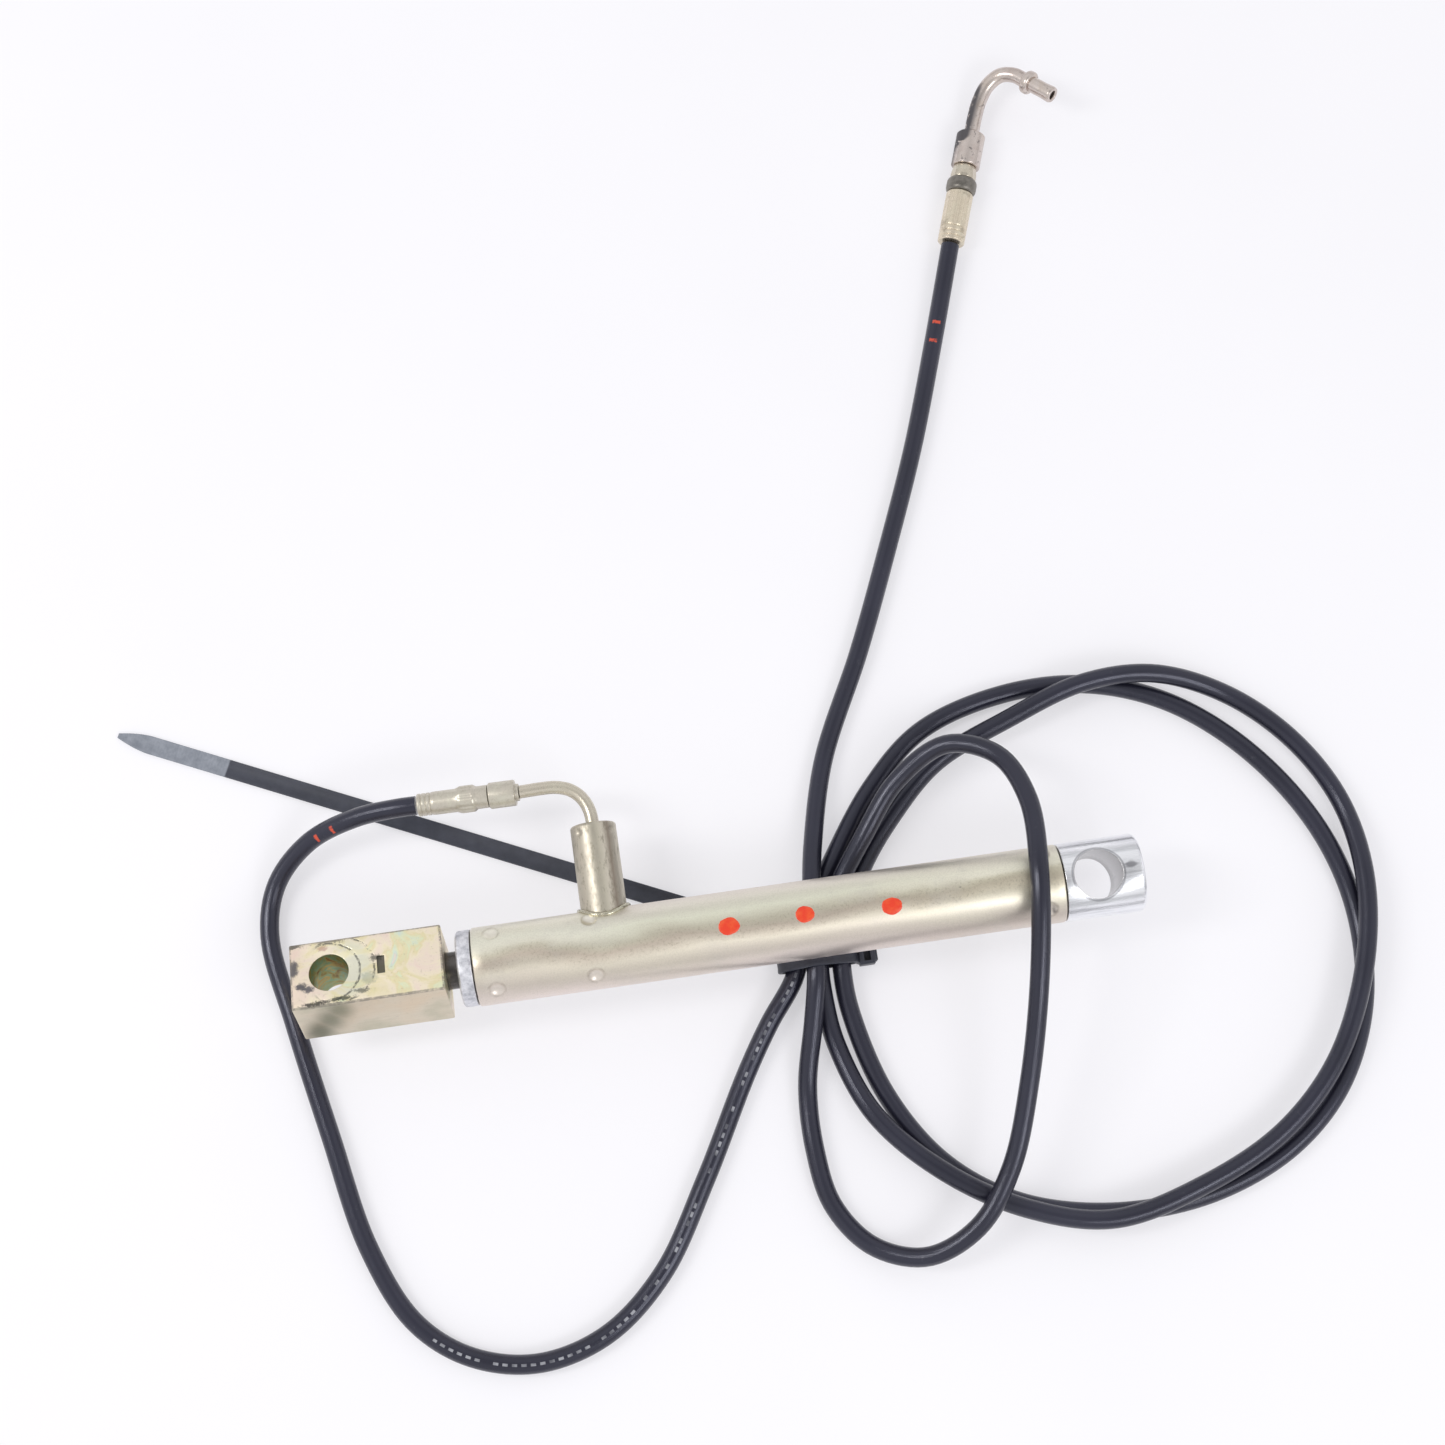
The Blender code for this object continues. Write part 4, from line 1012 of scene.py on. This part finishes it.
def make_rod_and_block(rod_metal, plating):
    outline = (
        (-192.5, 0.0), (-192.5, 4.25), (-192.0, 4.75), (-54.3, 4.75), (-54.3, 3.0),
        (-37.9, 3.0), (-37.4, 2.5), (-37.4, 0.0))
    turned("rod_ground", outline, 0.15, 96, rod_metal, "rod", "dark_steel", body="rod", sharp=34)

    roll = Matrix.Rotation(BLOCK_ROLL, 4, "X")
    work = box((BLOCK_NEAR - BLOCK_FAR, BLOCK_SIDE, BLOCK_SIDE),
               Matrix.Translation(((BLOCK_NEAR + BLOCK_FAR) / 2 * MM, 0, 0)))
    bmesh.ops.bevel(work, geom=work.edges[:], offset=0.55 * MM, segments=3, profile=0.6,
                    affect="EDGES")
    bmesh.ops.transform(work, matrix=roll, verts=work.verts)
    up = roll @ Vector((0, 0, 14 * MM))
    bore = Vector((BLOCK_BORE_X * MM, 0, 0))
    tools = [
        rod_tool("bore_tool", BLOCK_BORE_R * MM, bore - up, bore + up, 112),
        rod_tool("pocket_tool", 5.05 * MM, (-192.8 * MM, 0, 0), (-170 * MM, 0, 0), 96),
    ]
    place = Matrix.Translation(((BLOCK_BORE_X + 13.1) * MM, 0.2 * MM, 9.0 * MM))
    tools.append(plain_object("notch_tool", box((1.9, 4.8, 1.1), roll @ place)))
    work = carve(work, "block_work", tools, 0.28, 3, 50)
    new_piece("block_bored", work, plating, "zinc_yellow", "rod", ("rod_end_block",), 34)


def make_paint_dots(finish):
    """Blobs of paint on the tube's top, thin at their edges."""
    for number, (x, y, size, seed) in enumerate(PAINT_DOTS, 1):
        work = bmesh.new()
        rings = []
        sides, rows = 48, 9
        for row in range(rows):
            share = row / (rows - 1)
            ring = []
            for angle in turns(sides):
                wave = Vector((math.cos(angle), math.sin(angle), seed * 3.1))
                edge = size * (1 + 0.10 * noise.noise(wave * 1.3) + 0.05 * noise.noise(wave * 5))
                across = edge * share
                u, v = across * math.cos(angle), 0.86 * across * math.sin(angle)
                lift = 0.02 + 0.13 * (1 - share ** 4)
                lift += 0.03 * noise.noise(Vector((u, v, seed))) * (1 - share)
                if row == rows - 1:
                    lift = -0.05
                turn = (y + v) / TUBE_R
                radius = TUBE_R + lift
                ring.append(work.verts.new((
                    (x + u) * MM, radius * math.sin(turn) * MM, radius * math.cos(turn) * MM)))
                if row == 0:
                    break
            rings.append(ring)
        under = [work.verts.new((v.co.x, v.co.y * 0.993, v.co.z * 0.993)) for v in rings[-1]]
        rings.append(under)
        for k in range(sides):
            m = (k + 1) % sides
            work.faces.new((rings[0][0], rings[1][k], rings[1][m]))
            for inner, outer in zip(rings[1:], rings[2:]):
                work.faces.new((inner[k], outer[k], outer[m], inner[m]))
        work.faces.new(under)
        new_piece(f"paint_dot_{number}", work, finish, "zinc_yellow", sharp=60)


def strap_rows(work, frames, closed):
    """Skin a strap: each frame is (middle, side, up, half width, thickness, length)."""
    section = (
        (-1.0, 0.12), (-1.0, 0.82), (-0.93, 1.0), (-0.62, 1.0), (-0.56, 0.93), (0.56, 0.93),
        (0.62, 1.0), (0.93, 1.0), (1.0, 0.82), (1.0, 0.12), (0.94, 0.0), (-0.94, 0.0))
    rings = []
    for middle, side, up, half, thick, _ in frames:
        rings.append([work.verts.new(middle + side * (half * a) + up * (thick * b))
                      for a, b in section])
    skin(work, rings, [each[5] for each in frames], closed, 0.5)


def make_cable_tie(finish):
    """The tail on the table, the ring round the strands and the head."""
    work = bmesh.new()
    tip = Vector((*TIE_TIP, 0)) * MM
    end = Vector((*TIE_TAIL_END, 0)) * MM
    way = (end - tip).normalized()
    side = Vector((-way.y, way.x, 0))
    up = Vector((0, 0, 1))
    floor = Vector((0, 0, TABLE_Z + 0.02 * MM))
    length = (end - tip).length / MM
    stops = [0.28 * k for k in range(int(TIE_GREY / 0.28) + 1)]
    stops += [TIE_GREY + 0.4] + list(np.linspace(TIE_GREY + 2.0, length, 90))
    frames = []
    for s in stops:
        grown = min(1.0, s / 9.0)
        half = TIE_WIDTH / 2 * (0.26 + 0.74 * (1 - (1 - grown) ** 1.6))
        thick = TIE_THICK * (0.62 + 0.36 * min(1.0, s / 4.0))
        if s <= TIE_GREY and round(s / 0.28) % 3 == 0:
            thick -= 0.10
        if s > TIE_GREY:
            thick -= 0.06
        frames.append((tip + way * s * MM + floor, side, up, half * MM, thick * MM, s * MM))
    strap_rows(work, frames, False)

    corners = [Vector(corner) for corner in TIE_CORNERS]
    outline = []
    for k, corner in enumerate(corners):
        before = corner - corners[k - 1]
        after = corners[(k + 1) % 3] - corner
        first = math.atan2(-before.x, before.y)
        turn = (math.atan2(-after.x, after.y) - first) % math.tau
        for step in range(15):
            angle = first + turn * step / 14
            normal = Vector((math.cos(angle), math.sin(angle)))
            outline.append((corner + normal * TIE_CORNER, normal))
    frames = []
    for place, normal in outline:
        middle = Vector((place.x * MM, TIE_Y * MM, TABLE_Z + place.y * MM))
        out = Vector((normal.x, 0, normal.y))
        frames.append((middle, Vector((0, 1, 0)), out, TIE_WIDTH / 2 * MM,
                       (TIE_THICK - 0.03) * MM, 0.5))
    strap_rows(work, frames, True)

    size = (5.4, 6.4, 6.3)
    place = Matrix.Translation(Vector((
        TIE_RIGHT + 0.5 + size[0] / 2, TIE_Y, 0.08 + size[2] / 2)) * MM + Vector((0, 0, TABLE_Z)))
    head = box(size, place)
    head.loops.layers.uv.new("along")
    bmesh.ops.bevel(head, geom=head.edges[:], offset=0.7 * MM, segments=3, affect="EDGES")
    slot = box((1.7, 4.6, 3.6), place @ Matrix.Translation((0, 0, 2.4 * MM)))
    head = carve(head, "head_work", [plain_object("slot_tool", slot)], 0.15, 2, 60)
    mesh = bpy.data.meshes.new("head")
    head.to_mesh(mesh)
    head.free()
    work.from_mesh(mesh)
    bpy.data.meshes.remove(mesh)
    layer = work.loops.layers.uv["along"]
    for face in work.faces:
        for loop in face.loops:
            if loop.vert.co.x > (TIE_RIGHT - 0.2) * MM and loop[layer].uv.x < 0.05:
                loop[layer].uv.x = 0.5
    new_piece("cable_tie_strap", work, finish, "nylon_black", replaces=("cable_tie",), sharp=40)


def finish_inner_parts():
    """Seals, bushes, the piston and its nut keep their CAD shapes."""
    rubber, bronze = rubber_finish(), bronze_finish()
    steel = cast_finish("nut_steel", (0.30, 0.30, 0.31), (0.52, 0.52, 0.53), 0.95, 0.36)
    aluminium = cast_finish(
        "piston_aluminium", (0.58, 0.59, 0.61), (0.78, 0.78, 0.80), 0.95, 0.30)
    for finish, nodes in (
            (rubber, ("plug_o_ring", "gland_o_ring", "rod_seal", "rod_wiper", "port_o_ring",
                      "piston_seal")),
            (bronze, ("guide_bush", "piston_guide_ring")),
            (steel, ("port_retaining_ring", "piston_nut")), (aluminium, ("piston",))):
        for node in nodes:
            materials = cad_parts[node].data.materials
            materials.clear()
            materials.append(finish)


def make_floor():
    work = bmesh.new()
    bmesh.ops.create_grid(work, x_segments=4, y_segments=4, size=TABLE_HALF)
    bmesh.ops.translate(work, verts=work.verts, vec=(0, 0, TABLE_Z))
    floor = plain_object("table", work)
    floor.data.materials.append(floor_finish())


def main():
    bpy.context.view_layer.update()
    bpy.context.scene.view_settings.view_transform = "Standard"
    place_camera()
    light_the_room()
    make_floor()

    hose, path, length = make_hose()
    fitting = zinc_finish("zinc_fitting", (0.60, 0.56, 0.48), 0.38, 0.40)
    far_pieces = make_far_fitting(
        zinc_finish("zinc_far", (0.74, 0.65, 0.51), 0.26, 0.40),
        zinc_finish("zinc_neck", (0.62, 0.56, 0.46), 0.22, 0.75),
        cast_finish("band_dark", (0.15, 0.14, 0.125), (0.30, 0.28, 0.25), 0.8, 0.42),
        nickel_finish())

    make_tube(tube_finish())
    make_eye(polished_finish())
    make_gland(cast_finish("gland_dull", (0.44, 0.45, 0.49), (0.88, 0.88, 0.92), 0.8, 0.44))
    make_port(
        sleeve_finish(),
        zinc_finish("braze_bright", (0.52, 0.49, 0.38), 0.20, 0.60, 2.0),
        zinc_finish("zinc_pipe", (0.62, 0.57, 0.47), 0.30, 0.15))
    make_near_fitting(fitting, fitting)
    make_rod_and_block(rod_finish(), block_finish())
    make_paint_dots(paint_finish())
    make_cable_tie(tie_finish())
    finish_inner_parts()


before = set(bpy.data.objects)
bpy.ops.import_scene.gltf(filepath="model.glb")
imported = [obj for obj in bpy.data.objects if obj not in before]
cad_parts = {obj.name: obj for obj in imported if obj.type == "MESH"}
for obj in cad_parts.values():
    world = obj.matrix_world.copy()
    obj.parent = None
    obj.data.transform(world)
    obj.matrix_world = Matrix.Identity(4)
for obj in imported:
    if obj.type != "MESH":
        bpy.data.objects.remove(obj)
main()
